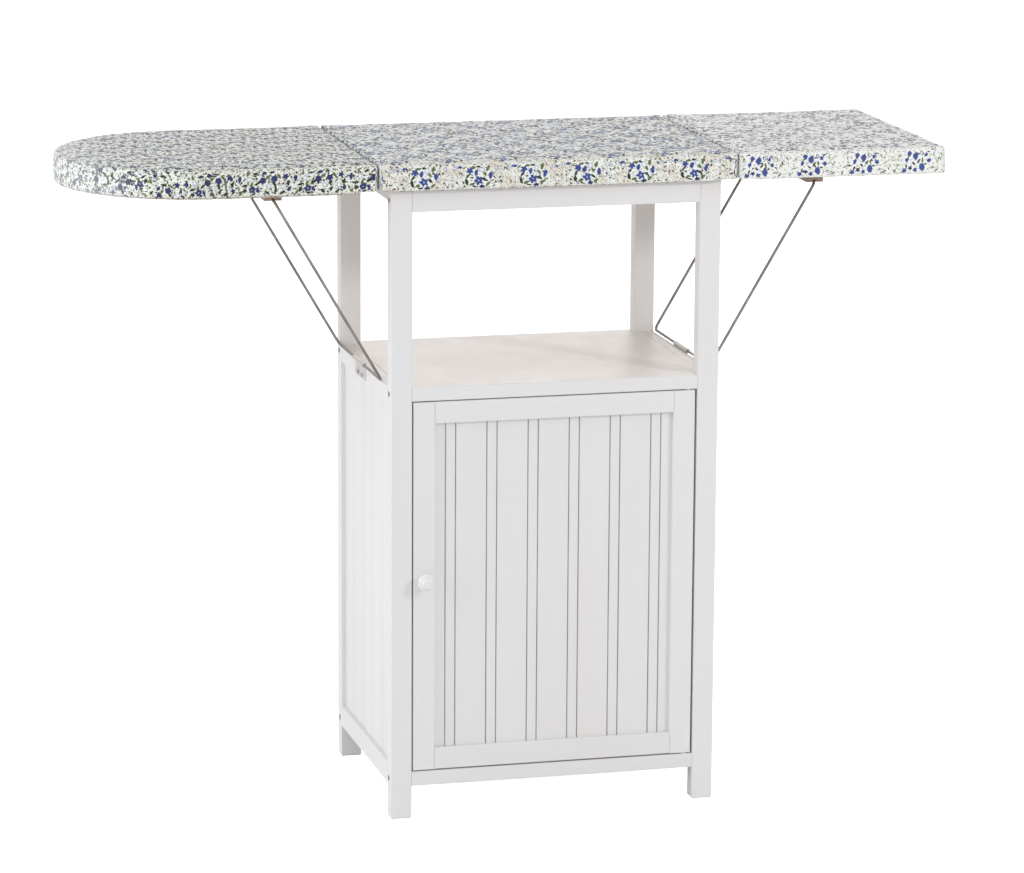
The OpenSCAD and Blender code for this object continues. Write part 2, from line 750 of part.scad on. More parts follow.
// The wooden board of a section, with true round corners
module board_plan(s) {
    x0 = s[0] + board_in;
    x1 = s[1] - board_in;
    y0 = board_y0 + board_in;
    y1 = board_y1 - board_in;
    rl = max(s[2] - board_in, 1);
    rr = max(s[3] - board_in, 1);
    translate([x0, y0 + rl]) square([x1 - x0 - rr, y1 - y0 - 2 * rl]);
    translate([x0 + rl, y0]) square([x1 - x0 - rl - rr, y1 - y0]);
    translate([x0 + rl, y0 + rr]) square([x1 - x0 - rl, y1 - y0 - 2 * rr]);
    for (y = [y0, y1], k = [1, -1]) if ((y == y0) == (k == 1)) {
        translate([x0 + rl, y + k * rl]) circle(r = rl, $fn = rl > 100 ? 144 : 24);
        translate([x1 - rr, y + k * rr]) circle(r = rr, $fn = rr > 100 ? 144 : 24);
    }
}
module wooden_board(s) {
    translate([0, 0, post_h]) linear_extrude(board_t) board_plan(s);
}
module end_board(side, s) {
    color(raw_wood) placed() difference() {
        wooden_board(s);
        on_side(side) {
            at_hinge_screws(1) pilot_bore();
            at_cleat_screws() pilot_bore();
        }
    }
}
module foam_pad(s) color("khaki") placed() lofted(s, pad_rings());

// The cover: its skin over the pad and the board's edge, and its turned hem.
// The hem stops short of the fold lines, where the hinges are.
module cover(s, hem_x0, hem_x1) {
    color(cloth) placed() {
        difference() {
            lofted(s, cover_rings());
            lofted(s, room_rings());
        }
        translate([0, 0, post_h - 0.4]) linear_extrude(0.8) intersection() {
            plan_ring(s, side_draw + 0.1, side_draw + cover_t - 0.1);
            hem_reach(hem_x0, hem_x1);
        }
        translate([0, 0, post_h - hem_t]) linear_extrude(hem_t) intersection() {
            plan_ring(s, side_draw, hem_w);
            hem_reach(hem_x0, hem_x1);
        }
    }
}
module hem_reach(x0, x1) translate([x0, board_y0 - 1]) square([x1 - x0, board_d + 2]);
hem_stop = hinge_leaf_w + 2;

module centre_board() {
    color(raw_wood) placed() difference() {
        wooden_board(centre_section);
        for (side = [-1, 1]) on_side(side) at_hinge_screws(-1) pilot_bore();
        at_bracket_screws() pilot_bore();
    }
}
module left_board() end_board(-1, left_section);
module right_board() end_board(1, right_section);
module centre_pad() foam_pad(centre_section);
module left_pad() foam_pad(left_section);
module right_pad() foam_pad(right_section);
module centre_cover() cover(centre_section, -fold_x + hem_stop, fold_x - hem_stop);
module left_cover() cover(left_section, -fold_x - left_len - 1, -fold_x - hem_stop);
module right_cover() cover(right_section, fold_x + hem_stop, fold_x + right_len + 1);

// ---- board hinges ----

hinge_y0s = [board_y0 + hinge_inset - hinge_len / 2, board_y1 - hinge_inset - hinge_len / 2];
knuckle_len = hinge_len / 3;

// Section of a hinge plate with its knuckle, seen along the pin. dir is the
// side that the plate lies on.
module knuckle_section(dir, bore) {
    difference() {
        union() {
            circle(r = barrel_r);
            translate([dir < 0 ? -hinge_leaf_w : 0, barrel_r - hinge_sheet])
                square([hinge_leaf_w, hinge_sheet]);
        }
        circle(r = bore);
    }
}
// Section of the plate where it makes room for the other plate's knuckle
module cut_back_section(dir) {
    x0 = barrel_r + knuckle_clear;
    translate([dir < 0 ? -hinge_leaf_w : x0, barrel_r - hinge_sheet])
        square([hinge_leaf_w - x0, hinge_sheet]);
}
module fixed_plates() {
    difference() {
        for (y0 = hinge_y0s) translate([fold_x, y0, barrel_z]) {
            along_y(0, knuckle_len - knuckle_gap / 2) knuckle_section(-1, hinge_pin_d / 2 + 0.02);
            along_y(hinge_len - knuckle_len + knuckle_gap / 2, hinge_len)
                knuckle_section(-1, hinge_pin_d / 2 + 0.02);
            along_y(0, hinge_len) cut_back_section(-1);
        }
        at_hinge_screws(-1) plate_bore();
    }
}
module moving_plates() {
    difference() {
        for (y0 = hinge_y0s) translate([fold_x, y0, barrel_z]) {
            along_y(knuckle_len + knuckle_gap / 2, hinge_len - knuckle_len - knuckle_gap / 2)
                knuckle_section(1, hinge_pin_d / 2 + pin_play);
            along_y(0, hinge_len) cut_back_section(1);
        }
        at_hinge_screws(1) plate_bore();
    }
}
module hinge_pins() {
    for (y0 = hinge_y0s) rod_y([fold_x, y0, barrel_z], hinge_pin_d, hinge_len);
}
module left_hinge_fixed_plates() color(steel) placed() on_side(-1) fixed_plates();
module right_hinge_fixed_plates() color(steel) placed() on_side(1) fixed_plates();
module left_hinge_moving_plates() color(steel) placed() on_side(-1) moving_plates();
module right_hinge_moving_plates() color(steel) placed() on_side(1) moving_plates();
module left_hinge_pins() color(steel) placed() on_side(-1) hinge_pins();
module right_hinge_pins() color(steel) placed() on_side(1) hinge_pins();

// ---- wire props ----

// A quarter bend in the plane of the prop, from the angle a onwards
module bend(y, z, a) {
    translate([0, y, z]) rotate([90, 0, 90]) rotate(a)
        rotate_extrude(angle = 90) translate([bend_r, 0]) circle(d = wire_d);
}
module wire_frame() {
    near = bend_r;
    far = prop_len - bend_r;
    rod_y([0, prop_front + bend_r, 0], wire_d, prop_span - 2 * bend_r);
    rod_y([0, prop_front + bend_r, prop_len], wire_d, prop_span - 2 * bend_r);
    for (y = [prop_front, prop_back]) translate([0, y, near]) cylinder(d = wire_d, h = far - near);
    bend(prop_front + bend_r, near, 180);
    bend(prop_back - bend_r, near, 270);
    bend(prop_back - bend_r, far, 0);
    bend(prop_front + bend_r, far, 90);
}
module prop(side) {
    on_side(side) translate([half_w + bar_off, 0, bar_z]) rotate([0, prop_tilt, 0]) wire_frame();
}
module left_prop() color(steel) placed() prop(-1);
module right_prop() color(steel) placed() prop(1);

// The clip: a strip on the rail's face, curled round the prop's lower bar
module clip_section() {
    difference() {
        union() {
            circle(r = curl_r);
            translate([-bar_off, -clip_drop]) square([clip_sheet, clip_drop - wire_d / 4]);
        }
        circle(r = wire_d / 2 + wire_play);
    }
}
module prop_clip(side) {
    on_side(side) difference() {
        along_y(clip_y0, clip_y0 + clip_len) translate([half_w + bar_off, bar_z]) clip_section();
        at_clip_screws() plate_bore();
    }
}
module left_prop_clip() color(steel) placed() prop_clip(-1);
module right_prop_clip() color(steel) placed() prop_clip(1);

// Cleats under an end section. The prop's upper bar sits in a notch that is
// open below, with a steep outer wall and an inner wall that leans with the
// prop, so that the wire can drop out when the section is lifted.
module cleat_section() {
    cx = half_w + prop_out;
    hold = wire_d / 2 + 0.3;
    lean = [sin(prop_tilt), cos(prop_tilt)];
    difference() {
        translate([cx - cleat_w / 2, post_h - cleat_t]) square([cleat_w, cleat_t]);
        translate([cx, notch_z]) {
            circle(r = hold);
            polygon([[-hold * lean[1], hold * lean[0]], [hold, 0], [hold, -10],
                     [-hold * lean[1] - 10 * lean[0], hold * lean[0] - 10 * lean[1]]]);
        }
    }
}
cleat_y0s = [prop_front + cleat_gap, prop_back - cleat_gap - cleat_len];
module cleats(side) {
    on_side(side) difference() {
        for (y0 = cleat_y0s) along_y(y0, y0 + cleat_len) cleat_section();
        at_cleat_screws() {
            pilot_bore();
            translate([0, 0, -screw_sink - 1]) cylinder(d = screw_head_d + 0.6, h = screw_sink + 1);
        }
    }
}
module left_cleats() color(raw_wood) placed() cleats(-1);
module right_cleats() color(raw_wood) placed() cleats(1);

post_front_left();
post_front_right();
post_back_left();
post_back_right();
front_apron();
back_apron();
left_top_rail();
right_top_rail();
front_bottom_rail();
back_bottom_rail();
left_bottom_rail();
right_bottom_rail();
left_middle_rail();
right_middle_rail();
shelf();
bottom_panel();
left_side_panel();
right_side_panel();
back_panel();
frame_bolts();
bolt_inserts();
board_brackets();
door_left_stile();
door_right_stile();
door_top_rail();
door_bottom_rail();
door_panel();
knob();
knob_screw();
pivot_bushes();
pivot_pins();
pivot_washers();
door_catch();
catch_strike();
centre_board();
centre_pad();
centre_cover();
left_board();
left_pad();
left_cover();
right_board();
right_pad();
right_cover();
left_hinge_fixed_plates();
left_hinge_moving_plates();
left_hinge_pins();
right_hinge_fixed_plates();
right_hinge_moving_plates();
right_hinge_pins();
left_prop();
right_prop();
left_prop_clip();
right_prop_clip();
left_cleats();
right_cleats();
centre_board_screws();
left_board_screws();
right_board_screws();
prop_clip_screws();
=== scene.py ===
import math

import bmesh
import bpy
from mathutils import Matrix, Vector, noise
from mathutils.geometry import delaunay_2d_cdt
from mathutils.kdtree import KDTree


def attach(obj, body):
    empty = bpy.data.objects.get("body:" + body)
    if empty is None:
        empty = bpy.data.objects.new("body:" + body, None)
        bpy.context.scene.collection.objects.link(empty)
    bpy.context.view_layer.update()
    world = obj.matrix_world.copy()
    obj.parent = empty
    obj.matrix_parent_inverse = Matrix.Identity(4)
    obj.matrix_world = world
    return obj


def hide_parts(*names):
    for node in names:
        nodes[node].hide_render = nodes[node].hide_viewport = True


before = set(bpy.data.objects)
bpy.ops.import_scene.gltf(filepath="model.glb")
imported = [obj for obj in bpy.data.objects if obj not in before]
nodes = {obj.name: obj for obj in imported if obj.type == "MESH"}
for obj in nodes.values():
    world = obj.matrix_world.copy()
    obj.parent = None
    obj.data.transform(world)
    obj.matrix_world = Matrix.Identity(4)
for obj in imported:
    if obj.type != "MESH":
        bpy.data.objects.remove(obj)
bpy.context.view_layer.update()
scene = bpy.context.scene
mm = 0.001

# where the cabinet stands in the frame: middle of its width, face of its posts, and their height
place = {"midX": 0.0525, "faceY": -0.17025, "boardZ": 0.875}

# shader helpers. Each one adds a node to a tree and gives back what comes out of it

def plug(tree, value, socket):
    if isinstance(value, bpy.types.NodeSocket):
        tree.links.new(value, socket)
    else:
        socket.default_value = value


def newNode(tree, kind, inputs=None, **props):
    node = tree.nodes.new("ShaderNode" + kind)
    for key, value in props.items():
        setattr(node, key, value)
    for key, value in (inputs or {}).items():
        plug(tree, value, node.inputs[key])
    return node


def calc(tree, operation, *values):
    return newNode(tree, "Math", dict(enumerate(values)), operation=operation).outputs[0]


def times(tree, a, b):
    return calc(tree, "MULTIPLY", a, b)


def minus(tree, a, b):
    return calc(tree, "SUBTRACT", a, b)


def vecCalc(tree, operation, a, b=None):
    inputs = {0: a}
    if b is not None:
        inputs["Scale" if operation == "SCALE" else 1] = b
    node = newNode(tree, "VectorMath", inputs, operation=operation)
    return node.outputs["Value" if operation in ("LENGTH", "DOT_PRODUCT") else "Vector"]


def split(tree, vector):
    return newNode(tree, "SeparateXYZ", {"Vector": vector}).outputs


def join(tree, x, y, z=0):
    return newNode(tree, "CombineXYZ", {"X": x, "Y": y, "Z": z}).outputs[0]


def ramp(tree, value, low, high, toLow=0, toHigh=1, kind="SMOOTHSTEP"):
    inputs = {"Value": value, "From Min": low, "From Max": high, "To Min": toLow, "To Max": toHigh}
    return newNode(tree, "MapRange", inputs, interpolation_type=kind).outputs["Result"]


def blendColor(tree, mask, under, over):
    # 0, 6 and 7 are the Mix node's sockets for a colour's factor and its two sides
    inputs = {0: mask, 6: under, 7: over}
    return newNode(tree, "Mix", inputs, data_type="RGBA", clamp_factor=True).outputs[2]


def noiseTex(tree, vector, scale, detail, rough=0.5, out="Fac"):
    if isinstance(scale, tuple):     # drawn out by its own amount along each axis
        vector, scale = vecCalc(tree, "MULTIPLY", vector, scale), 1
    inputs = {"Vector": vector, "Scale": scale, "Detail": detail, "Roughness": rough}
    return newNode(tree, "TexNoise", inputs).outputs[out]


def useGroup(tree, group, inputs):
    return newNode(tree, "Group", inputs, node_tree=group).outputs


def shaderGroup(name, inputs, wire):
    # inputs are named with their values, or None for a vector. wire adds the nodes and names the outputs
    group = bpy.data.node_groups.new(name, "ShaderNodeTree")
    for label, value in inputs.items():
        kind = "NodeSocketVector" if value is None else "NodeSocketFloat"
        socket = group.interface.new_socket(name=label, in_out="INPUT", socket_type=kind)
        if value is not None:
            socket.default_value = value
    outputs = wire(group, group.nodes.new("NodeGroupInput").outputs)
    for label in outputs:
        group.interface.new_socket(name=label, in_out="OUTPUT", socket_type="NodeSocketFloat")
    ends = group.nodes.new("NodeGroupOutput").inputs
    for label, value in outputs.items():
        plug(group, value, ends[label])
    return group


# shader groups that several materials share

def timberNodes(tree, get):
    # soft streaks and fine fibre lines, from a vector in metres that runs along the grain in X
    warped = noiseTex(tree, get["Vector"], (3, 60, 60), 4, 0.55)
    return {"Streaks": ramp(tree, calc(tree, "SINE", times(tree, warped, 42)), -1, 1),
            "Fibre": noiseTex(tree, get["Vector"], (22, 1600, 1600), 2, 0.6)}


def paintNodes(tree, get):
    # brush marks and the fibre that shows through a thin film of paint
    brush = noiseTex(tree, get["Vector"], (9, 420, 420), 3, 0.6)
    peel = noiseTex(tree, get["Vector"], 520, 2)
    return {"Height": calc(tree, "MULTIPLY_ADD", peel, 0.45, brush),
            "Tone": noiseTex(tree, get["Vector"], (2.2, 14, 14), 3),
            "Gloss": noiseTex(tree, get["Vector"], 36, 4, 0.55)}


def edgeNodes(tree, get):
    # worn patches on the narrow eased faces of a piece of timber, whose normals lie between two axes
    parts = split(tree, vecCalc(tree, "ABSOLUTE", get["Normal"]))
    most = calc(tree, "MAXIMUM", calc(tree, "MAXIMUM", parts[0], parts[1]), parts[2])
    patch = ramp(tree, noiseTex(tree, get["Vector"], 75, 4, 0.65), 0.56, 0.68)
    return {"Worn": times(tree, ramp(tree, most, 0.97, 0.8), patch)}


def dustNodes(tree, get):
    # faint dust on faces that look up, in soft patches
    up = split(tree, get["Normal"])[2]
    cloud = ramp(tree, noiseTex(tree, get["Vector"], 9, 5, 0.6), 0.4, 0.75)
    return {"Dust": times(tree, ramp(tree, up, 0.5, 0.95), cloud)}


def grooveNodes(tree, get):
    # dark line along each groove of a beaded panel. Across runs over the panel's width
    # from its middle and Along up its height, both in metres
    # the Line is partly grime and partly painted shade in the groove, and Halo is a wider band of painted
    # shade beside it
    cell = minus(tree, calc(tree, "FRACT", calc(tree, "DIVIDE", get["Across"], get["Pitch"])), 0.5)
    off = times(tree, calc(tree, "ABSOLUTE", cell), get["Pitch"])
    gap = calc(tree, "ABSOLUTE", minus(tree, off, times(tree, get["Pair"], 0.5)))
    spot = join(tree, times(tree, get["Across"], 90), times(tree, get["Along"], 7))
    drift = noiseTex(tree, spot, 1, 3, 0.55)
    near = calc(tree, "DIVIDE", gap, times(tree, get["Width"], ramp(tree, drift, 0.25, 0.75, 0.85, 1.1)))
    return {"Line": times(tree, ramp(tree, near, 1.15, 0.5), ramp(tree, drift, 0.2, 0.6, 0.6, 1)),
            "Halo": ramp(tree, near, 3.2, 0.8)}


def metalNodes(tree, get):
    # drawn or rolled lines and small dull spots
    return {"Lines": noiseTex(tree, get["Vector"], (1800, 1800, 60), 3, 0.6),
            "Spots": ramp(tree, noiseTex(tree, get["Vector"], 420, 4, 0.7), 0.58, 0.7),
            "Tone": noiseTex(tree, get["Vector"], 40, 3)}


def plasticNodes(tree, get):
    return {"Grain": noiseTex(tree, get["Vector"], 2600, 2), "Tone": noiseTex(tree, get["Vector"], 60, 2)}


def weaveNodes(tree, get):
    # plain weave: over and under threads, from cloth coordinates in millimetres
    turn = calc(tree, "DIVIDE", math.pi, get["Thread"])
    across, along = (calc(tree, "SINE", times(tree, part, turn)) for part in split(tree, get["Cloth"])[:2])
    warp, weft = (times(tree, noiseTex(tree, get["Cloth"], drawn, 2, 0.6), 0.5)
                  for drawn in ((2.4, 0.12, 1), (0.12, 2.4, 1)))
    return {"Height": calc(tree, "MULTIPLY_ADD", times(tree, across, along), 0.5, 0.5),
            "Slub": calc(tree, "ADD", warp, weft)}


def scatterCell(tree, get):
    # the nearest cell's own place, turn and size, for motifs scattered over the cloth
    small = vecCalc(tree, "DIVIDE", vecCalc(tree, "ADD", get["Cloth"], get["Offset"]),
                    join(tree, get["Cell"], get["Cell"], 1))
    cell = newNode(tree, "TexVoronoi", {"Vector": small, "Scale": 1, "Randomness": get["Jitter"]},
                   voronoi_dimensions="2D", feature="F1").outputs
    dice = newNode(tree, "SeparateColor", {"Color": cell["Color"]}).outputs
    delta = vecCalc(tree, "SCALE", vecCalc(tree, "SUBTRACT", small, cell["Position"]), get["Cell"])
    inputs = {"Vector": delta, "Angle": times(tree, dice[0], 2 * math.pi)}
    turned = newNode(tree, "VectorRotate", inputs, rotation_type="Z_AXIS").outputs[0]
    return split(tree, turned), dice[2], calc(tree, "LESS_THAN", dice[1], get["Chance"])


scatterInputs = {"Cloth": None, "Offset": None, "Cell": 12, "Jitter": 0.7, "Chance": 0.7}


def blossomNodes(tree, get):
    # small flowers with round lobes. Rim is the outer part of the petals alone
    spot, dice, kept = scatterCell(tree, get)
    reach = calc(tree, "SQRT", calc(tree, "ADD", *(times(tree, part, part) for part in spot[:2])))
    wave = calc(tree, "COSINE", times(tree, calc(tree, "ARCTAN2", spot[1], spot[0]), get["Petals"]))
    radius = times(tree, get["Radius"], ramp(tree, dice, 0, 1, 0.72, 1.08, "LINEAR"))
    lobes = times(tree, radius, calc(tree, "MULTIPLY_ADD", wave, get["Lobe"], minus(tree, 1, get["Lobe"])))
    petal, inner, core = (
        times(tree, ramp(tree, minus(tree, edge, reach), -soft, soft), kept)
        for edge, soft in ((lobes, 0.18), (times(tree, lobes, 0.62), 0.2), (times(tree, radius, 0.24), 0.15)))
    return {"Petal": petal, "Rim": minus(tree, petal, inner), "Core": core}


def leafletNodes(tree, get):
    spot, _, kept = scatterCell(tree, get)
    side = calc(tree, "ABSOLUTE", calc(tree, "MULTIPLY_ADD", times(tree, spot[0], spot[0]), 0.07, spot[1]))
    along = calc(tree, "DIVIDE", spot[0], get["Length"])
    width = times(tree, get["Breadth"], minus(tree, 1, times(tree, along, along)))
    return {"Leaf": times(tree, ramp(tree, minus(tree, width, side), -0.12, 0.14), kept)}


def starNodes(tree, get):
    # five petals in a unit circle, with notches of a set depth between them
    spot = split(tree, get["Vector"])
    reach = vecCalc(tree, "LENGTH", get["Vector"])
    saw = calc(tree, "FRACT", times(tree, calc(tree, "ARCTAN2", spot[1], spot[0]), 2.5 / math.pi))
    peak = minus(tree, 1, calc(tree, "ABSOLUTE", calc(tree, "MULTIPLY_ADD", saw, 2, -1)))
    blunt = calc(tree, "POWER", peak, 0.7)
    edge = calc(tree, "MULTIPLY_ADD", blunt, get["Notch"], minus(tree, 1, get["Notch"]))
    return {"Petal": ramp(tree, minus(tree, edge, reach), -0.04, 0.05),
            "Inner": ramp(tree, minus(tree, times(tree, edge, 0.56), reach), -0.05, 0.05),
            "Core": ramp(tree, minus(tree, 0.16, reach), -0.04, 0.04)}


def bladeNodes(tree, get):
    # a slightly bent leaf or bud that reaches one each way from its middle
    spot = split(tree, get["Vector"])
    along = times(tree, spot[0], spot[0])
    side = calc(tree, "ABSOLUTE", calc(tree, "MULTIPLY_ADD", along, get["Bend"], spot[1]))
    return {"Blade": ramp(tree, minus(tree, minus(tree, 1, along), side), -0.1, 0.12)}


timberGrain = shaderGroup("timberGrain", {"Vector": None}, timberNodes)
paintFilm = shaderGroup("paintFilm", {"Vector": None}, paintNodes)
easedEdges = shaderGroup("easedEdges", {"Normal": None, "Vector": None}, edgeNodes)
lyingDust = shaderGroup("lyingDust", {"Normal": None, "Vector": None}, dustNodes)
beadLines = shaderGroup("beadLines", {"Across": 0, "Along": 0, "Pitch": 0.0579, "Pair": 0.0142,
                                      "Width": 0.0011}, grooveNodes)
drawnMetal = shaderGroup("drawnMetal", {"Vector": None}, metalNodes)
mouldedSkin = shaderGroup("mouldedSkin", {"Vector": None}, plasticNodes)
plainWeave = shaderGroup("plainWeave", {"Cloth": None, "Thread": 0.42}, weaveNodes)
blossoms = shaderGroup("blossoms", {**scatterInputs, "Radius": 4, "Petals": 5, "Lobe": 0.26}, blossomNodes)
leaflets = shaderGroup("leaflets", {**scatterInputs, "Length": 3.6, "Breadth": 1.3}, leafletNodes)
starBloom = shaderGroup("starBloom", {"Vector": None, "Notch": 0.5}, starNodes)
bladeShape = shaderGroup("bladeShape", {"Vector": None, "Bend": 0.25}, bladeNodes)
print("shader groups built")

# materials

def startMaterial(name):
    material = bpy.data.materials.new(name)
    material.use_nodes = True
    tree = material.node_tree
    tree.nodes.clear()
    surface = newNode(tree, "BsdfPrincipled")
    newNode(tree, "OutputMaterial", {"Surface": surface.outputs["BSDF"]})
    return material, tree, surface, newNode(tree, "TexCoord").outputs


def dress(tree, surface, color, rough, height, bump, fixed=None):
    # bump is its depth in metres and its strength, and fixed holds values for the shader's own sockets
    lift = {"Height": height, "Distance": bump[0], "Strength": bump[1]}
    normal = newNode(tree, "Bump", lift).outputs["Normal"]
    sockets = {"Base Color": color, "Roughness": rough, "Normal": normal, **(fixed or {})}
    for label, value in sockets.items():
        plug(tree, value, surface.inputs[label])


def alongGrain(tree, coords, axis):
    # turns object coordinates so that X runs along the piece's length
    if axis == "x":
        return coords["Object"]
    parts = split(tree, coords["Object"])
    return join(tree, *(parts[k] for k in {"y": (1, 0, 2), "z": (2, 0, 1)}[axis]))


# two of these colours are painted into the grooves of beaded panels: a band of painted shade beside each
# groove, and a dark line in it that is partly grime and partly painted shade
paintLook = {"clean": (0.80, 0.80, 0.80, 1), "aged": (0.775, 0.77, 0.76, 1), "primer": (0.62, 0.57, 0.49, 1),
             "dust": (0.72, 0.70, 0.67, 1), "grimeAndShade": (0.16, 0.125, 0.105, 1), "shade": (0.6, 0.575, 0.555, 1),
             "tone": (0.3, 0.75), "roughness": (0.42, 0.5), "brush": (0.00005, 0.6), "wear": 0.12,
             "dusty": 0.05, "halo": 0.12, "coat": {"Coat Weight": 0.12, "Coat Roughness": 0.3}}
# the knob's thicker, glossier coat
knobLook = {**paintLook, "clean": (0.84, 0.84, 0.83, 1), "aged": (0.80, 0.795, 0.78, 1), "tone": (0.3, 0.7),
            "roughness": (0.2, 0.32), "brush": (0.00003, 0.4), "wear": 0, "dusty": 0,
            "coat": {"Coat Weight": 0.3, "Coat Roughness": 0.15}}


def paintedWood(name, axis, grooves=None, look=paintLook):
    material, tree, surface, coords = startMaterial(name)
    film = useGroup(tree, paintFilm, {"Vector": alongGrain(tree, coords, axis)})
    faces = {"Normal": coords["Normal"], "Vector": coords["Object"]}
    worn, dust = useGroup(tree, easedEdges, faces)["Worn"], useGroup(tree, lyingDust, faces)["Dust"]
    color = blendColor(tree, ramp(tree, film["Tone"], *look["tone"]), look["clean"], look["aged"])
    layers = [(dust, look["dusty"], "dust"), (worn, look["wear"], "primer")]
    if grooves:
        parts = split(tree, coords["Object"])
        across = minus(tree, parts[grooves["axis"]], grooves["middle"])
        lines = useGroup(tree, beadLines, {"Across": across, "Along": parts[2], "Width": grooves["width"]})
        # a band of painted shade beside each groove, and in it a dark line that is partly grime and partly
        # painted shade
        layers += [(lines["Halo"], look["halo"], "shade"), (lines["Line"], grooves["dark"], "grimeAndShade")]
    for mask, strength, tint in layers:
        color = blendColor(tree, times(tree, mask, strength), color, look[tint])
    rough = ramp(tree, film["Gloss"], 0.3, 0.7, *look["roughness"])
    dress(tree, surface, color, rough, film["Height"], look["brush"], look["coat"])
    return material


def bareWood(name, axis, look):
    material, tree, surface, coords = startMaterial(name)
    grain = useGroup(tree, timberGrain, {"Vector": alongGrain(tree, coords, axis)})
    color = blendColor(tree, grain["Streaks"], look["early"], look["late"])
    color = blendColor(tree, times(tree, ramp(tree, grain["Fibre"], 0.52, 0.7), 0.4), color, look["pore"])
    rough = ramp(tree, grain["Fibre"], 0.2, 0.8, 0.6, 0.8)
    height = calc(tree, "MULTIPLY_ADD", grain["Fibre"], 0.6, grain["Streaks"])
    dress(tree, surface, color, rough, height, (0.00012, 0.7))
    return material


def metal(name, look):
    material, tree, surface, coords = startMaterial(name)
    marks = useGroup(tree, drawnMetal, {"Vector": coords["Object"]})
    color = blendColor(tree, ramp(tree, marks["Tone"], 0.3, 0.7), look["bright"], look["dull"])
    color = blendColor(tree, times(tree, marks["Spots"], look["spots"]), color, look["spotColor"])
    rough = ramp(tree, marks["Lines"], 0.3, 0.7, *look["roughness"])
    rough = calc(tree, "MULTIPLY_ADD", marks["Spots"], 0.15, rough)
    dress(tree, surface, color, rough, marks["Lines"], (0.00003, 0.5), {"Metallic": look["metallic"]})
    return material


def plastic(name, light, dark):
    material, tree, surface, coords = startMaterial(name)
    skin = useGroup(tree, mouldedSkin, {"Vector": coords["Object"]})
    color = blendColor(tree, ramp(tree, skin["Tone"], 0.3, 0.7), light, dark)
    dress(tree, surface, color, ramp(tree, skin["Grain"], 0.3, 0.7, 0.38, 0.5), skin["Grain"], (0.00003, 0.5))
    return material


threadLook = {"dark": (0.10, 0.11, 0.14, 1), "light": (0.19, 0.20, 0.24, 1), "roughness": (0.6, 0.75),
              "slant": (1, 1, 0.4), "turns": 9000, "relief": (0.00008, 0.6)}


def twistedThread(name, look):
    # dark sewing thread with its twist
    material, tree, surface, coords = startMaterial(name)
    way = vecCalc(tree, "DOT_PRODUCT", coords["Object"], look["slant"])
    twist = ramp(tree, calc(tree, "SINE", times(tree, way, look["turns"])), -1, 1)
    color = blendColor(tree, twist, look["dark"], look["light"])
    dress(tree, surface, color, ramp(tree, twist, 0, 1, *look["roughness"]), twist, look["relief"])
    return material


doorGrooves = {"axis": 0, "middle": place["midX"] - 0.0005, "width": 0.00065, "dark": 0.6}
sideGrooves = {"axis": 1, "middle": place["faceY"] + 0.17, "width": 0.0007, "dark": 0.5}
paintX = paintedWood("whitePaintAcross", "x")
paintY = paintedWood("whitePaintDeep", "y")
paintZ = paintedWood("whitePaintUpright", "z")
paintDoor = paintedWood("whitePaintDoorPanel", "z", doorGrooves)
paintSide = paintedWood("whitePaintSidePanel", "z", sideGrooves)
boardWood = bareWood("boardPly", "x", {
    "early": (0.52, 0.36, 0.2, 1), "late": (0.40, 0.26, 0.135, 1), "pore": (0.24, 0.15, 0.08, 1)})
cleatWood = bareWood("cleatPine", "y", {
    "early": (0.43, 0.33, 0.26, 1), "late": (0.34, 0.255, 0.195, 1), "pore": (0.2, 0.145, 0.11, 1)})
wireSteel = metal("propWire", {
    "bright": (0.36, 0.34, 0.33, 1), "dull": (0.25, 0.235, 0.225, 1), "spots": 0.35,
    "spotColor": (0.1, 0.075, 0.06, 1), "roughness": (0.3, 0.5), "metallic": 0.85})
sheetSteel = metal("clipSheet", {
    "bright": (0.52, 0.50, 0.48, 1), "dull": (0.40, 0.385, 0.37, 1), "spots": 0.3,
    "spotColor": (0.2, 0.17, 0.15, 1), "roughness": (0.32, 0.5), "metallic": 0.8})
clipZinc = metal("clipZinc", {
    "bright": (0.70, 0.69, 0.68, 1), "dull": (0.60, 0.59, 0.58, 1), "spots": 0.2,
    "spotColor": (0.4, 0.37, 0.34, 1), "roughness": (0.35, 0.5), "metallic": 0.45})
boltSteel = metal("boltSteel", {
    "bright": (0.16, 0.15, 0.145, 1), "dull": (0.09, 0.085, 0.08, 1), "spots": 0.3,
    "spotColor": (0.05, 0.04, 0.035, 1), "roughness": (0.35, 0.55), "metallic": 0.8})
bushPlastic = plastic("bushPlastic", (0.74, 0.72, 0.65, 1), (0.66, 0.64, 0.57, 1))
catchPlastic = plastic("catchPlastic", (0.80, 0.80, 0.77, 1), (0.73, 0.73, 0.70, 1))
knobPaint = paintedWood("whitePaintKnob", "x", look=knobLook)
seamThread = twistedThread("seamThread", threadLook)
print("plain materials built")

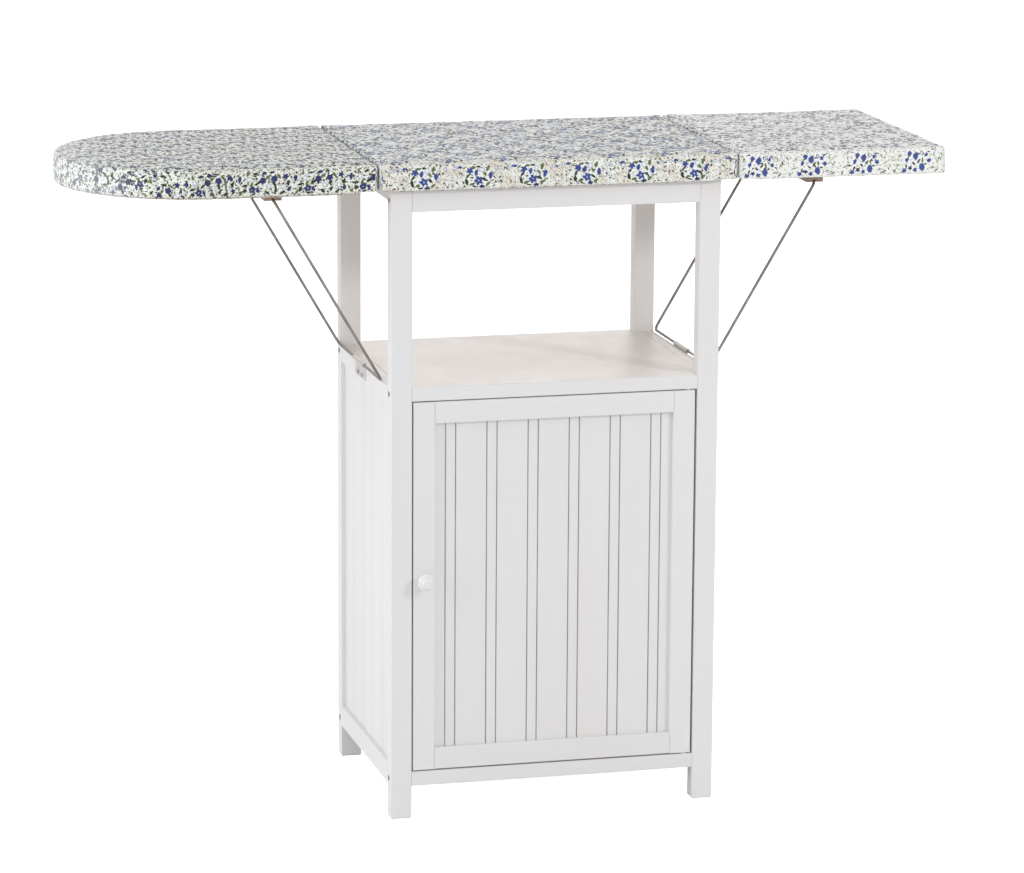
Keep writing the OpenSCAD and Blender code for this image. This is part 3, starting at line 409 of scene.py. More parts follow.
# the carried-over CAD nodes and their finishes
finishes = {
    paintX: "front_apron back_apron front_bottom_rail back_bottom_rail shelf bottom_panel back_panel "
            "door_top_rail door_bottom_rail",
    paintY: "left_top_rail right_top_rail left_middle_rail right_middle_rail left_bottom_rail "
            "right_bottom_rail",
    paintZ: "post_front_left post_front_right post_back_left post_back_right door_left_stile "
            "door_right_stile",
    paintDoor: "door_panel",
    paintSide: "left_side_panel right_side_panel",
    knobPaint: "knob",
    boardWood: "centre_board left_board right_board",
    cleatWood: "left_cleats right_cleats",
    wireSteel: "left_prop right_prop",
    clipZinc: "left_prop_clip right_prop_clip",
    sheetSteel: "board_brackets left_hinge_fixed_plates left_hinge_moving_plates left_hinge_pins "
                "right_hinge_fixed_plates right_hinge_moving_plates right_hinge_pins catch_strike "
                "prop_clip_screws",
    boltSteel: "frame_bolts bolt_inserts knob_screw pivot_pins centre_board_screws left_board_screws "
               "right_board_screws",
    bushPlastic: "pivot_bushes pivot_washers",
    catchPlastic: "door_catch",
}
for material, names in finishes.items():
    for name in names.split():
        slots = nodes[name].data.materials
        slots.clear()
        slots.append(material)
print("finishes put on the carried-over nodes")

# the printed cotton
# two of these colours also carry painted shade: one along the hem's lower edge, and the dark speck colour
# again in the left cover's creases
printColors = {
    "white": (0.895, 0.915, 0.895, 1), "pearl": (0.76, 0.785, 0.69, 1), "cream": (0.79, 0.71, 0.62, 1),
    "blush": (0.74, 0.62, 0.54, 1), "ink": (0.028, 0.042, 0.15, 1), "cobalt": (0.036, 0.068, 0.29, 1),
    "royal": (0.05, 0.085, 0.30, 1), "navy": (0.022, 0.034, 0.125, 1), "sky": (0.22, 0.31, 0.55, 1),
    "haze": (0.50, 0.55, 0.66, 1), "green": (0.115, 0.165, 0.045, 1), "dark": (0.022, 0.036, 0.02, 1),
    "olive": (0.23, 0.26, 0.10, 1), "dot": (0.055, 0.055, 0.045, 1), "curl": (0.36, 0.33, 0.29, 1),
    "straw": (0.70, 0.68, 0.42, 1), "hemShade": (0.30, 0.25, 0.21, 1), "slate": (0.05, 0.07, 0.15, 1),
    "sage": (0.29, 0.34, 0.22, 1),
}

# posies: colour and kind, x, y, turn and half length in millimetres from the posy's middle, and half
# breadth where it isn't the same
posyCentre = [
    ("dark leaf", -16.5, -7, 1.8, 4.8, 2), ("dark leaf", -15, 1, 0.9, 3.4, 1.4),
    ("green leaf", -9, -10, 0.4, 3.9, 1.8), ("green leaf", -7.5, 13, 0.1, 3.8, 1.5),
    ("dark leaf", 0, 13.5, -0.3, 3.4, 1.4), ("green leaf", 8, 4, -0.9, 3.8, 1.6),
    ("dark leaf", 8.5, -4, -0.5, 4.2, 1.5), ("green leaf", 12.5, 11.5, 1.3, 4.4, 2),
    ("green leaf", 12.5, -10.5, 0.8, 4.2, 1.8), ("dark leaf", -5.5, -14, 2.7, 3.8, 1.3),
    ("olive leaf", 18.5, -5.5, 0.2, 3.2, 1), ("olive leaf", -19.5, 12, 0.6, 3, 0.9),
    ("haze ring", 4.5, 9.5, 0.5, 4.2), ("sky ring", 29, 11, 0.2, 2.9), ("sky ring", -33, 12.5, 0.9, 2.7),
    ("cobalt leaf", -26, 13.5, 0.1, 3.6, 1.5), ("cobalt leaf", -3.5, 5.5, 1.3, 4.4, 2.4),
    ("cobalt leaf", 16.5, 1.5, 1.5, 5, 2.3), ("cobalt star", -12.5, 8, 0.4, 4.5),
    ("cobalt star", 0, -5.5, 0, 5.7), ("navy star", 4.5, -14.5, 1.1, 3.9),
]
posyLeft = [
    ("dark leaf", -8, 1, 0.5, 4.6, 1.7), ("green leaf", -17, -1.5, 1.2, 4.2, 1.8),
    ("dark leaf", 4, -12.5, 2.5, 4.4, 1.8), ("green leaf", 5, 8.5, 0.7, 4.2, 1.7),
    ("dark leaf", 14.5, -1.5, 1.9, 4.4, 1.7), ("dark leaf", -11, 13.5, 0.2, 3.8, 1.5),
    ("green leaf", 20.5, 9.5, 2.2, 4.2, 1.7), ("dark leaf", -25.5, -2, 0.1, 4.4, 1.6),
    ("dark leaf", 24, -13, 0.6, 4.4, 1.7), ("green leaf", -31.5, -13, 1, 4, 1.7),
    ("dark leaf", 33, 0.5, 1.3, 4.4, 1.7), ("green leaf", -22, 14, 1.5, 3.8, 1.5),
    ("dark leaf", -14.5, -14.5, 0.3, 3.8, 1.5), ("dark leaf", 11, 15, 0.1, 3.8, 1.4),
    ("haze ring", 26, -4.5, 0.4, 4), ("haze ring", -20, 6, 0.8, 4), ("haze ring", 7, -3.5, 0.2, 3.6),
    ("navy leaf", 1, 14, 0.3, 3.8, 2), ("ink leaf", -8.5, -9, 1.9, 4.2, 2.2),
    ("dark leaf", 15.5, -9.5, 1.2, 4, 1.7), ("ink leaf", -32.5, 6.5, 1.4, 4.6, 2.4),
    ("navy round", -1.5, 4, 0.2, 4.6), ("ink round", -16, -8, 0.9, 5.2, 4.4), ("ink round", 14, 6, 1.5, 4.6),
    ("navy star", 29.5, 9, 0.5, 4.2), ("dark star", -26, -9, 0.1, 3.3), ("navy star", 33.5, -8.5, 1.2, 3.4),
]
posyRight = [
    ("dark leaf", 2, 1, 0.9, 3.6, 1.2), ("dark leaf", -5, -2.5, 2.4, 3.2, 1.2),
    ("dark leaf", -12, 8.5, 0.7, 2.8, 1.1), ("green leaf", 7.5, 2, 1.7, 3.4, 1.3),
    ("dark leaf", 12, -3.5, 0.2, 2.6, 1.1), ("dark leaf", -16, -6.5, 1.2, 3, 1.2),
    ("olive leaf", -25, 8.5, 1.3, 3.4, 0.8), ("olive leaf", -28, -4, 0.2, 3.6, 0.8),
    ("olive leaf", 24, 9.5, 1.8, 3.6, 0.8), ("olive leaf", 29.5, 0.5, 0.7, 3.4, 0.8),
    ("olive leaf", 21, -8.5, 0.3, 3.2, 0.8), ("dark leaf", 27.5, -12.5, 0.5, 3, 1),
    ("dark leaf", -33, -12, 1, 2.8, 1), ("navy ring", 6.5, 11.5, 0.3, 3), ("cobalt star", 12.5, 9.5, 0.8, 3),
    ("navy star", -10.5, -9, 0.4, 3.2), ("cobalt star", -3, -12, 1.3, 3.2),
    ("royal leaf", -15, 3, 1.2, 3.8, 2.2), ("royal leaf", -2.5, 8, 1.45, 5.4, 3.7),
    ("royal leaf", 6.5, -8, 1.7, 5.6, 3.8), ("royal star", -19, -12, 0.2, 3.8),
    ("royal round", -11, 12, 0.7, 3.2), ("royal round", 17, 1.5, 0.3, 3),
    ("cobalt leaf", 16, 13.5, 0.2, 2.4, 1.1),
]
# blooms, curls, twigs, strokes and specks say how much of each lies under the posies. The rules for the
# top give what is seen on the flat of the board alone, and the last of them is how much colour is kept under
# the painted sheen there
printSets = {
    "left": {"posy": posyLeft, "shift": (30, 15, 0), "grow": 1.08, "wash": ("white", "blush"),
             "washMost": 0.4, "clearing": 0.8, "blooms": 0.85, "curls": 0.4, "twigs": 0.8, "strokes": 0.9,
             "specks": 0.5, "topMarks": 0.24, "topTint": "sky", "topSheenSaturation": 0.8},
    "centre": {"posy": posyCentre, "shift": (38, 15, 0), "grow": 1.15, "wash": ("white", "cream"),
               "washMost": 0.95, "blooms": 0.35, "curls": 0.85, "twigs": 0.45, "strokes": 0.3,
               "specks": 0.85, "topMarks": 0.62, "topTint": "sky", "topSheenSaturation": 0.75},
    "right": {"posy": posyRight, "shift": (19.5, 15, 0), "grow": 1.1, "wash": ("white", "straw"),
              "washMost": 0.12, "blooms": 0.2, "curls": 0.35, "twigs": 0.55, "strokes": 0.12,
              "specks": 0.45, "topMarks": 0.38, "topTint": "sage", "topSheenSaturation": 0.4},
}
# wander is (noise scale, detail, how far), the painted shade along the left cover's creases is (end, full,
# how dark), and the other pairs are where a thing begins and where it is full, in millimetres
printForm = {
    "step": (75, 40), "wander": ((0.22, 2, 2.6), (0.62, 1, 2.2)), "clearing": (15, 22), "topFrom": (-12, 4),
    "topTo": (362, 350), "notches": {"star": 0.5, "ring": 0.5, "round": 0.26}, "core": 5,
    "hemShade": (36.8, 38.2, 0, 0.6), "noseLight": (-560, -660, 0, 0.24), "front": -18, "creaseFrom": (9, 15),
    "creaseShade": (2, 0.9, 0.8), "relief": (0.00006, 0.35),
    "sheen": {"Sheen Weight": 0.12, "Sheen Roughness": 0.5},
}
topFlower = {"Radius": 4.9, "Lobe": 0.3}
# layers under the posies: group, offset, cell, jitter, the rule or number for how many and its share,
# sizes, and what each mask paints as mask, strength, area and colour
printLayers = [
    (blossoms, (11, 7, 0), 10.5, 0.85, "blooms", 1, {"Radius": 4.6},
     (("Petal", 1, "all", "white"), ("Core", 0.8, "all", "straw"))),
    (blossoms, (29, 43, 0), 6.4, 0.85, "curls", 1, {"Radius": 2.3, "Lobe": 0.12},
     (("Rim", 0.62, "clear", "curl"),)),
    (leaflets, (3, 31, 0), 6, 0.7, "twigs", 1, {"Length": 2.4, "Breadth": 0.6},
     (("Leaf", 0.85, "all", "olive"),)),
    (leaflets, (13, 47, 0), 6.2, 0.85, "strokes", 1, {"Length": 2.5, "Breadth": 1.05},
     (("Leaf", 1, "all", "dark"),)),
    (blossoms, (31, 57, 0), 12.5, 0.9, "topMarks", 1, topFlower,
     (("Petal", 1, "top", "topTint"), ("Core", 1, "top", "straw"))),
    (blossoms, (51, 9, 0), 12.5, 0.9, "topMarks", 0.8, topFlower,
     (("Petal", 1, "top", "slate"), ("Core", 1, "top", "straw"))),
    (leaflets, (5, 77, 0), 12, 0.9, "topMarks", 0.6, {"Length": 4.8, "Breadth": 2.2},
     (("Leaf", 1, "top", "dark"),)),
    (blossoms, (7, 61, 0), 7.2, 0.85, 0.5, 1, {"Radius": 1.9}, (("Petal", 0.6, "all", "haze"),)),
    (blossoms, (23, 5, 0), 4.4, 0.85, "specks", 1, {"Radius": 0.85, "Petals": 4, "Lobe": 0.1},
     (("Petal", 0.85, "all", "dot"),)),
]


def printedCotton(side):
    # posies in staggered rows over a ground of fine specks, curls and twigs
    rules, form, look = printSets[side], printForm, printColors
    material, tree, surface = startMaterial(side + "FloralCotton")[:3]
    stored = newNode(tree, "Attribute", attribute_name="clothMap").outputs["Vector"]
    shaky, ragged = (vecCalc(tree, "SCALE", noiseTex(tree, stored, scale, detail, out="Color"), by)
                     for scale, detail, by in form["wander"])
    wander = vecCalc(tree, "SUBTRACT", vecCalc(tree, "ADD", shaky, ragged), (2.4, 2.4, 2.4))   # less its mean
    cloth = vecCalc(tree, "ADD", vecCalc(tree, "ADD", stored, rules["shift"]), wander)
    parts, (stepX, stepY) = split(tree, cloth), form["step"]
    row = calc(tree, "DIVIDE", parts[1], stepY)
    odd = calc(tree, "MODULO", calc(tree, "ABSOLUTE", calc(tree, "FLOOR", row)), 2)
    column = calc(tree, "MULTIPLY_ADD", odd, 0.5, calc(tree, "DIVIDE", parts[0], stepX))
    inX, inY = (times(tree, minus(tree, calc(tree, "FRACT", at), 0.5), step)
                for at, step in ((column, stepX), (row, stepY)))
    local = join(tree, times(tree, inX, calc(tree, "MULTIPLY_ADD", odd, 2, -1)), inY)     # odd rows mirrored
    clearing = rules.get("clearing") or ramp(tree, vecCalc(tree, "LENGTH", local), *form["clearing"])
    spread = split(tree, stored)     # across, along and down from the top's level, in millimetres
    onTop = times(tree, ramp(tree, spread[1], *form["topFrom"]), ramp(tree, spread[1], *form["topTo"]))
    areas = {"all": 1, "clear": clearing, "top": onTop}

    wash = ramp(tree, noiseTex(tree, cloth, 0.05, 2), 0.4, 0.62)
    for part in (clearing, rules["washMost"], calc(tree, "MULTIPLY_ADD", onTop, -0.85, 1)):
        wash = times(tree, wash, part)
    color = blendColor(tree, wash, *(look[tint] for tint in rules["wash"]))
    color = blendColor(tree, rules["blooms"] * 0.8, color, look["pearl"])
    for group, offset, cell, jitter, rule, part, sizes, paints in printLayers:
        found = useGroup(tree, group, {"Cloth": cloth, "Offset": offset, "Cell": cell, "Jitter": jitter,
                                       "Chance": rules.get(rule, rule) * part, **sizes})
        for mask, strength, area, tint in paints:
            amount = times(tree, times(tree, found[mask], strength), areas[area])
            color = blendColor(tree, amount, color, look[rules.get(tint, tint)])
    for motif, x, y, turn, half, *broad in rules["posy"]:
        tint, kind = motif.split()
        size = (half * rules["grow"], (broad or [half])[0] * rules["grow"], 1)
        inputs = {"Vector": local, "Location": (x, y, 0), "Rotation": (0, 0, turn), "Scale": size}
        spot = {"Vector": newNode(tree, "Mapping", inputs, vector_type="TEXTURE").outputs[0]}
        if kind == "leaf":
            color = blendColor(tree, useGroup(tree, bladeShape, spot)["Blade"], color, look[tint])
            continue
        flower = useGroup(tree, starBloom, {**spot, "Notch": form["notches"][kind]})
        petal = flower["Petal"]
        if kind == "ring":
            color = blendColor(tree, flower["Inner"], color, look["white"])
            petal = minus(tree, petal, flower["Inner"])
        color = blendColor(tree, petal, color, look[tint])
        if kind != "ring" and half > form["core"]:
            color = blendColor(tree, flower["Core"], color, look["haze"])
    # painted sheen: the colours on the flat top made duller
    sheenMuted = {"Color": color, "Saturation": ramp(tree, onTop, 0, 1, 1, rules["topSheenSaturation"])}
    color = newNode(tree, "HueSaturation", sheenMuted).outputs["Color"]
    # painted shade along the lower edge of the hem
    color = blendColor(tree, ramp(tree, spread[2], *form["hemShade"]), color, look["hemShade"])
    # painted light: the cloth made paler towards the left cover's nose
    color = blendColor(tree, ramp(tree, spread[0], *form["noseLight"]), color, look["white"])
    # painted shade along the pulled creases in the left cover's front, in the dark speck colour
    if side == "left":
        front = calc(tree, "LESS_THAN", spread[1], form["front"])
        onFront = times(tree, ramp(tree, spread[2], *form["creaseFrom"]), front)
        wide, sharp, dark = form["creaseShade"]
        level = coverForm["height"] - creaseForm["level"]
        for crease, lean in creaseForm["lines"]:
            off = minus(tree, calc(tree, "MULTIPLY_ADD", spread[2], -lean, spread[0]), crease - level * lean)
            creaseShadeMask = times(tree, ramp(tree, calc(tree, "ABSOLUTE", off), wide, sharp), onFront)
            color = blendColor(tree, times(tree, creaseShadeMask, dark), color, look["dot"])
    weave = useGroup(tree, plainWeave, {"Cloth": cloth})
    color = vecCalc(tree, "SCALE", color, ramp(tree, weave["Slub"], 0.35, 0.65, 0.93, 1.04))
    rough = ramp(tree, weave["Slub"], 0.3, 0.7, 0.78, 0.92)
    dress(tree, surface, color, rough, weave["Height"], form["relief"], form["sheen"])
    return material


# the padded covers. Sizes are in millimetres, x from the cabinet's middle, y from the posts' face
coverSizes = {
    "left": {"x0": -655, "x1": -251.5, "rLeft": 187.5, "rRight": 3, "hemDrop": 2.1, "folds": ("x1",),
             "body": "left_leaf"},
    "centre": {"x0": -248.5, "x1": 248.5, "rLeft": 3, "rRight": 3, "hemDrop": 1, "folds": ("x0", "x1"),
               "body": "cabinet"},
    "right": {"x0": 251.5, "x1": 550, "rLeft": 3, "rRight": 10, "hemDrop": 0.9, "folds": ("x0",),
              "body": "right_leaf"},
}
coverForm = {
    "y0": -15.5, "y1": 365.5, "height": 37, "crown": 0.7, "crownReach": 105, "roll": 5, "foldTight": 0.55,
    "step": 5, "wallRings": 7, "wallIn": 0.3, "foldIn": -0.1, "belly": 0.35, "topRings": (8.5, 13),
    "topGrid": 7, "shrink": 0.8, "hemStop": 20, "hemFade": 5,
}
# from inside the wood out to the wall's foot, as (inset, height), first where a hem is turned under the
# board and then where the cover is tucked against a fold line's hinge
hemProfile = [(16, 2.5), (12.3, 1), (12.4, -0.7), (11.4, -1.5), (6.5, -1.35), (2.6, -1.6), (1.3, -1.3),
              (0.7, -0.5), (0.4, 1), (0.3, 3)]
tuckProfile = [(12, 2.5), (8, 2.5), (6, 2.5), (4.6, 2.4), (3.6, 1.8), (2.7, 0.7), (1.8, 0.35), (0.8, 0.5),
               (0.2, 1.4), (-0.1, 3.2)]


def outlineAt(size, inset, foldInset):
    # closed outline of a cover, drawn in by inset, or by foldInset at its fold lines, with as many
    # points at every inset
    f = coverForm
    left, right = (foldInset if end in size["folds"] else inset for end in ("x0", "x1"))
    x0, x1 = size["x0"] + left, size["x1"] - right
    y0, y1 = f["y0"] + inset, f["y1"] - inset
    rl, rr = max(size["rLeft"] - inset, 0.4), max(size["rRight"] - inset, 0.4)
    alongX = round((size["x1"] - size["x0"]) / f["step"])
    deep = f["y1"] - f["y0"]
    alongY = {r: max(1, round((deep - 2 * r) / f["step"])) for r in (size["rLeft"], size["rRight"])}
    points = []

    def turn(cx, cy, r, start, full):
        count = max(4, round(full * math.pi / 2 / f["step"]))
        for k in range(count):
            angle = math.radians(start + 90 * k / count)
            points.append(Vector((cx + r * math.cos(angle), cy + r * math.sin(angle))))

    def straight(ax, ay, bx, by, count):
        for k in range(count):
            points.append(Vector((ax, ay)).lerp(Vector((bx, by)), k / count))

    turn(x1 - rr, y1 - rr, rr, 0, size["rRight"])
    straight(x1 - rr, y1, x0 + rl, y1, alongX)
    turn(x0 + rl, y1 - rl, rl, 90, size["rLeft"])
    straight(x0, y1 - rl, x0, y0 + rl, alongY[size["rLeft"]])
    turn(x0 + rl, y0 + rl, rl, 180, size["rLeft"])
    straight(x0 + rl, y0, x1 - rr, y0, alongX)
    turn(x1 - rr, y0 + rr, rr, 270, size["rRight"])
    straight(x1, y0 + rr, x1, y1 - rr, alongY[size["rRight"]])
    return points


def depthIn(size, x, y):
    # how far a point lies inside the cover's outline, and the outward direction there
    rl, rr, y0, y1 = size["rLeft"], size["rRight"], coverForm["y0"], coverForm["y1"]
    for r, cx, side in ((rl, size["x0"] + rl, -1), (rr, size["x1"] - rr, 1)):
        cy = min(max(y, y0 + r), y1 - r)
        if (x - cx) * side > 0 and y != cy:
            away = Vector((x - cx, y - cy))
            return r - away.length, away.normalized()
    choices = [(x - size["x0"], (-1, 0)), (size["x1"] - x, (1, 0)), (y - y0, (0, -1)), (y1 - y, (0, 1))]
    depth, way = min(choices, key=lambda choice: choice[0])
    return depth, Vector(way)


def foldGap(size, x):
    # distance to the cover's nearest fold line
    return min(abs(x - size[end]) for end in size["folds"])


def share(value, low, high):
    return max(0, min(1, (value - low) / (high - low)))


def toFrame(x, y, z):
    return Vector((place["midX"] + x * mm, place["faceY"] + y * mm, place["boardZ"] + z * mm))


def fromFrame(co):
    return (co.x - place["midX"]) / mm, (co.y - place["faceY"]) / mm, (co.z - place["boardZ"]) / mm


def topHeight(depth, shrink):
    f = coverForm
    fall = 1 - share(depth, f["roll"], f["crownReach"])
    return f["height"] - shrink - f["crown"] * fall * fall


def addPiece(name, mesh):
    data = bpy.data.meshes.new(name)
    mesh.to_mesh(data)
    mesh.free()
    piece = bpy.data.objects.new(name, data)
    scene.collection.objects.link(piece)
    return piece


def smoothFaces(piece):
    for face in piece.data.polygons:
        face.use_smooth = True


def coverShell(name, size, shrink):
    # hem, wall and rolled edge as rings round the outline, and the flat top as a grid
    f = coverForm
    mesh = bmesh.new()
    base = outlineAt(size, 0, 0)
    rings, count = [], len(base)

    def addRing(height, inset, foldInset):
        rings.append([mesh.verts.new(toFrame(*point, height)) for point in outlineAt(size, inset, foldInset)])

    hemmed = [share(foldGap(size, point.x), f["hemStop"], f["hemStop"] + f["hemFade"]) for point in base]
    for (hemIn, hemZ), (tuckIn, tuckZ) in zip(hemProfile, tuckProfile):
        hemZ *= size["hemDrop"] if hemZ < 0 else 1
        turned, tucked = outlineAt(size, hemIn + shrink, hemIn), outlineAt(size, tuckIn + shrink, tuckIn)
        rings.append([mesh.verts.new(toFrame(*low.lerp(under, part), tuckZ + (hemZ - tuckZ) * part))
                      for low, under, part in zip(tucked, turned, hemmed)])
    foot, rollZ = tuckProfile[-1][1], topHeight(0, shrink) - f["roll"]
    for k in range(1, f["wallRings"] + 1):
        part = k / (f["wallRings"] + 1)
        belly = f["belly"] * math.sin(math.pi * part)
        addRing(foot + (rollZ - foot) * part, f["wallIn"] + shrink - belly, f["foldIn"] - belly)
    for turnBy in range(0, 91, 15):
        angle = math.radians(turnBy)
        rise, inset = f["roll"] * math.sin(angle), f["roll"] * (1 - math.cos(angle))
        addRing(rollZ + rise, inset + f["wallIn"] + shrink, inset * f["foldTight"] + f["foldIn"])
    for inset in f["topRings"]:
        addRing(topHeight(inset, shrink), inset, inset - f["roll"] * (1 - f["foldTight"]))
    loop = [(i, (i + 1) % count) for i in range(count)]
    for low, high in zip(rings, rings[1:]):
        for i, j in loop:
            mesh.faces.new((low[i], low[j], high[j], high[i]))
    mesh.faces.new(list(reversed(rings[0])))

    verts, spots = list(rings[-1]), [Vector(fromFrame(vert.co)[:2]) for vert in rings[-1]]
    step = f["topGrid"]
    for row in range(1, int((f["y1"] - f["y0"]) / step) + 1):
        for column in range(1, int((size["x1"] - size["x0"]) / step) + 1):
            x, y = size["x0"] + column * step, f["y0"] + row * step
            depth = depthIn(size, x, y)[0]
            if depth > f["topRings"][-1] + step * 0.6:
                spots.append(Vector((x, y)))
                verts.append(mesh.verts.new(toFrame(x, y, topHeight(depth, shrink))))
    faces, origins = delaunay_2d_cdt(spots, loop, [], 1, 1e-5)[2:4]
    for face in faces:
        mesh.faces.new([verts[origins[corner][0]] for corner in face])
    bmesh.ops.triangulate(mesh, faces=[face for face in mesh.faces if len(face.verts) > 4])
    bmesh.ops.recalc_face_normals(mesh, faces=mesh.faces)
    return addPiece(name, mesh)


def applyTo(piece, modifier):
    for other in bpy.context.selected_objects:
        other.select_set(False)
    piece.select_set(True)
    bpy.context.view_layer.objects.active = piece
    bpy.ops.object.modifier_apply(modifier=modifier.name)


# caps on how far a point may move are in millimetres. Points below held stay where they are
swellRules = {"voxel": 5, "frames": 20, "topCap": 1.3, "dropCap": 0.3, "sideCap": 0.9, "held": 2, "freeAt": 8,
              "nearFold": 12, "foldShare": 0.35, "soften": 0.5}
clothRules = {"quality": 6, "mass": 0.25, "tension_stiffness": 18, "compression_stiffness": 18,
              "shear_stiffness": 8, "bending_stiffness": 0.4, "use_pressure": True,
              "uniform_pressure_force": 4, "vertex_group_mass": "held"}


def swell(piece, size):
    # puffs an evenly meshed copy of the padded cover with a short cloth simulation, and carries
    # how far it moved, within small limits, back to the cover's own points
    rules = swellRules
    puffed = piece.copy()
    puffed.data = piece.data.copy()
    scene.collection.objects.link(puffed)
    remesh = puffed.modifiers.new("evenQuads", "REMESH")
    remesh.mode = "VOXEL"
    remesh.voxel_size = rules["voxel"] * mm
    applyTo(puffed, remesh)
    start = [vertex.co.copy() for vertex in puffed.data.vertices]
    held = puffed.vertex_groups.new(name="held")
    held.add([i for i, co in enumerate(start) if fromFrame(co)[2] < rules["held"]], 1, "REPLACE")
    cloth = puffed.modifiers.new("swell", "CLOTH")
    for key, value in clothRules.items():
        setattr(cloth.settings, key, value)
    cloth.settings.effector_weights.gravity = 0
    cloth.collision_settings.use_collision = cloth.collision_settings.use_self_collision = False
    cloth.point_cache.frame_start, cloth.point_cache.frame_end = 1, rules["frames"]
    for step in range(1, rules["frames"] + 1):
        scene.frame_set(step)
    applyTo(puffed, cloth)
    scene.frame_set(1)

    tree = KDTree(len(start))
    moves = []
    for index, before in enumerate(start):
        move = puffed.data.vertices[index].co - before
        side = Vector((move.x, move.y, 0))
        if side.length > rules["sideCap"] * mm:
            side = side.normalized() * rules["sideCap"] * mm
        up = max(-rules["dropCap"] * mm, min(move.z, rules["topCap"] * mm))
        moves.append(side + Vector((0, 0, up)))
        tree.insert(before, index)
    tree.balance()
    for vertex in piece.data.vertices:
        x, y, z = fromFrame(vertex.co)
        if z < rules["held"]:
            continue
        near = [(index, 1 / (gap + rules["soften"] * mm)) for co, index, gap in tree.find_n(vertex.co, 4)]
        total = sum(weight for index, weight in near)
        move = sum((moves[index] * weight for index, weight in near), Vector()) / total
        sideways = rules["foldShare"] if foldGap(size, x) < rules["nearFold"] else 1
        vertex.co += Vector((move.x * sideways, move.y, move.z)) * share(z, rules["held"], rules["freeAt"])
    old = puffed.data
    bpy.data.objects.remove(puffed)
    bpy.data.meshes.remove(old)


# waves are (strength, wavelength, wavelength, place in the noise), and fades are the heights or depths
# where a thing begins and where it is full, all in millimetres
gatherForm = {"hem": 0.5, "nose": 0.9, "seam": 0.35, "skin": 1.9, "hemFade": (26, 6), "seamFade": (8, 28),
              "reach": (14, 0), "waves": ((1, 7.5, 60, 3.7), (0.6, 3.6, 30, 9.1))}
feltForm = {"rise": 0.5, "hemRise": 0.25, "fade": (20, 30), "waves": ((1, 46, 40, 1.3), (0.5, 19, 21, 5.9))}
# pulled creases in the left cover's front: (x, lean) at their level, each a valley with a lip beside it
creaseForm = {"lines": ((-483, 0.46), (-457, 0.12)), "level": 22, "depth": 2.4, "width": 1.7,
              "lip": 0.7, "lipAt": 4, "lipWidth": 2.6, "fade": (31, 22), "reach": (6, 2)}


def unevenness(a, b, waves):
    return sum(strength * noise.noise(Vector((a / wide, b / high, at))) for strength, wide, high, at in waves)


def puckerAndMap(piece, size):
    # gathers at the hem and seams, creases, slow unevenness of the felt, and the cloth's own coordinates
    f, g, c = coverForm, gatherForm, creaseForm
    store = piece.data.attributes.new("clothMap", "FLOAT_VECTOR", "POINT")
    for index, vertex in enumerate(piece.data.vertices):
        x, y, z = fromFrame(vertex.co)
        depth, way = depthIn(size, x, y)
        drop = max(0, f["height"] - z)
        under = 2 * max(0, depth) * share(z, 2, 0)
        flat = Vector((x, y)) + way * (drop * share(depth, 30, 10) + under)
        store.data[index].vector = (flat.x, flat.y, drop)
        if z < 2 and depth > 2.2 and foldGap(size, x) < f["hemStop"] + f["hemFade"]:
            continue
        onNose = size["rLeft"] > 100 and x < size["x0"] + size["rLeft"]
        around = math.atan2(way.y, way.x) * size["rLeft"] if onNose else x - y
        wave = unevenness(around, drop, g["waves"])
        strength = (g["nose"] if onNose else g["hem"]) * (0.25 + 0.75 * share(z, *g["hemFade"]))
        if foldGap(size, x) < 6:
            strength = g["seam"] * (0.4 + 0.6 * share(z, *g["seamFade"]))
        push = wave * strength * share(depth, *g["reach"])
        if way.y < -0.9 and size["body"] == "left_leaf":
            for crease, lean in c["lines"]:
                off = x - crease - (c["level"] - z) * lean
                ridge = c["lip"] * math.exp(-((off - c["lipAt"]) / c["lipWidth"]) ** 2)
                valley = c["depth"] * math.exp(-(off / c["width"]) ** 2)
                push += share(z, *c["fade"]) * share(depth, *c["reach"]) * (ridge - valley)
        if z < 18 and depth < 2:
            push = max(push, depth - g["skin"])
        slow = unevenness(x, y, feltForm["waves"]) * feltForm["rise"] * share(z, *feltForm["fade"])
        rise = slow - wave * feltForm["hemRise"] * share(z, 0.5, -0.5)
        vertex.co += Vector((way.x * push, way.y * push, rise)) * mm


# along is (place, width, rise) from one end of a stitch to the other, and across is (place, rise)
stitchForm = {"inset": 4.2, "long": 2.8, "broad": 0.8, "proud": 0.35, "pitch": 5.2, "endGap": 9, "sway": 0.25,
              "along": ((-0.5, 0.35, -0.3), (-0.3, 0.9, 0.75), (0, 1, 1), (0.3, 0.9, 0.75),
                        (0.5, 0.35, -0.3)),
              "across": ((-0.5, -0.4), (-0.32, 0.7), (0, 1), (0.32, 0.7), (0.5, -0.4))}


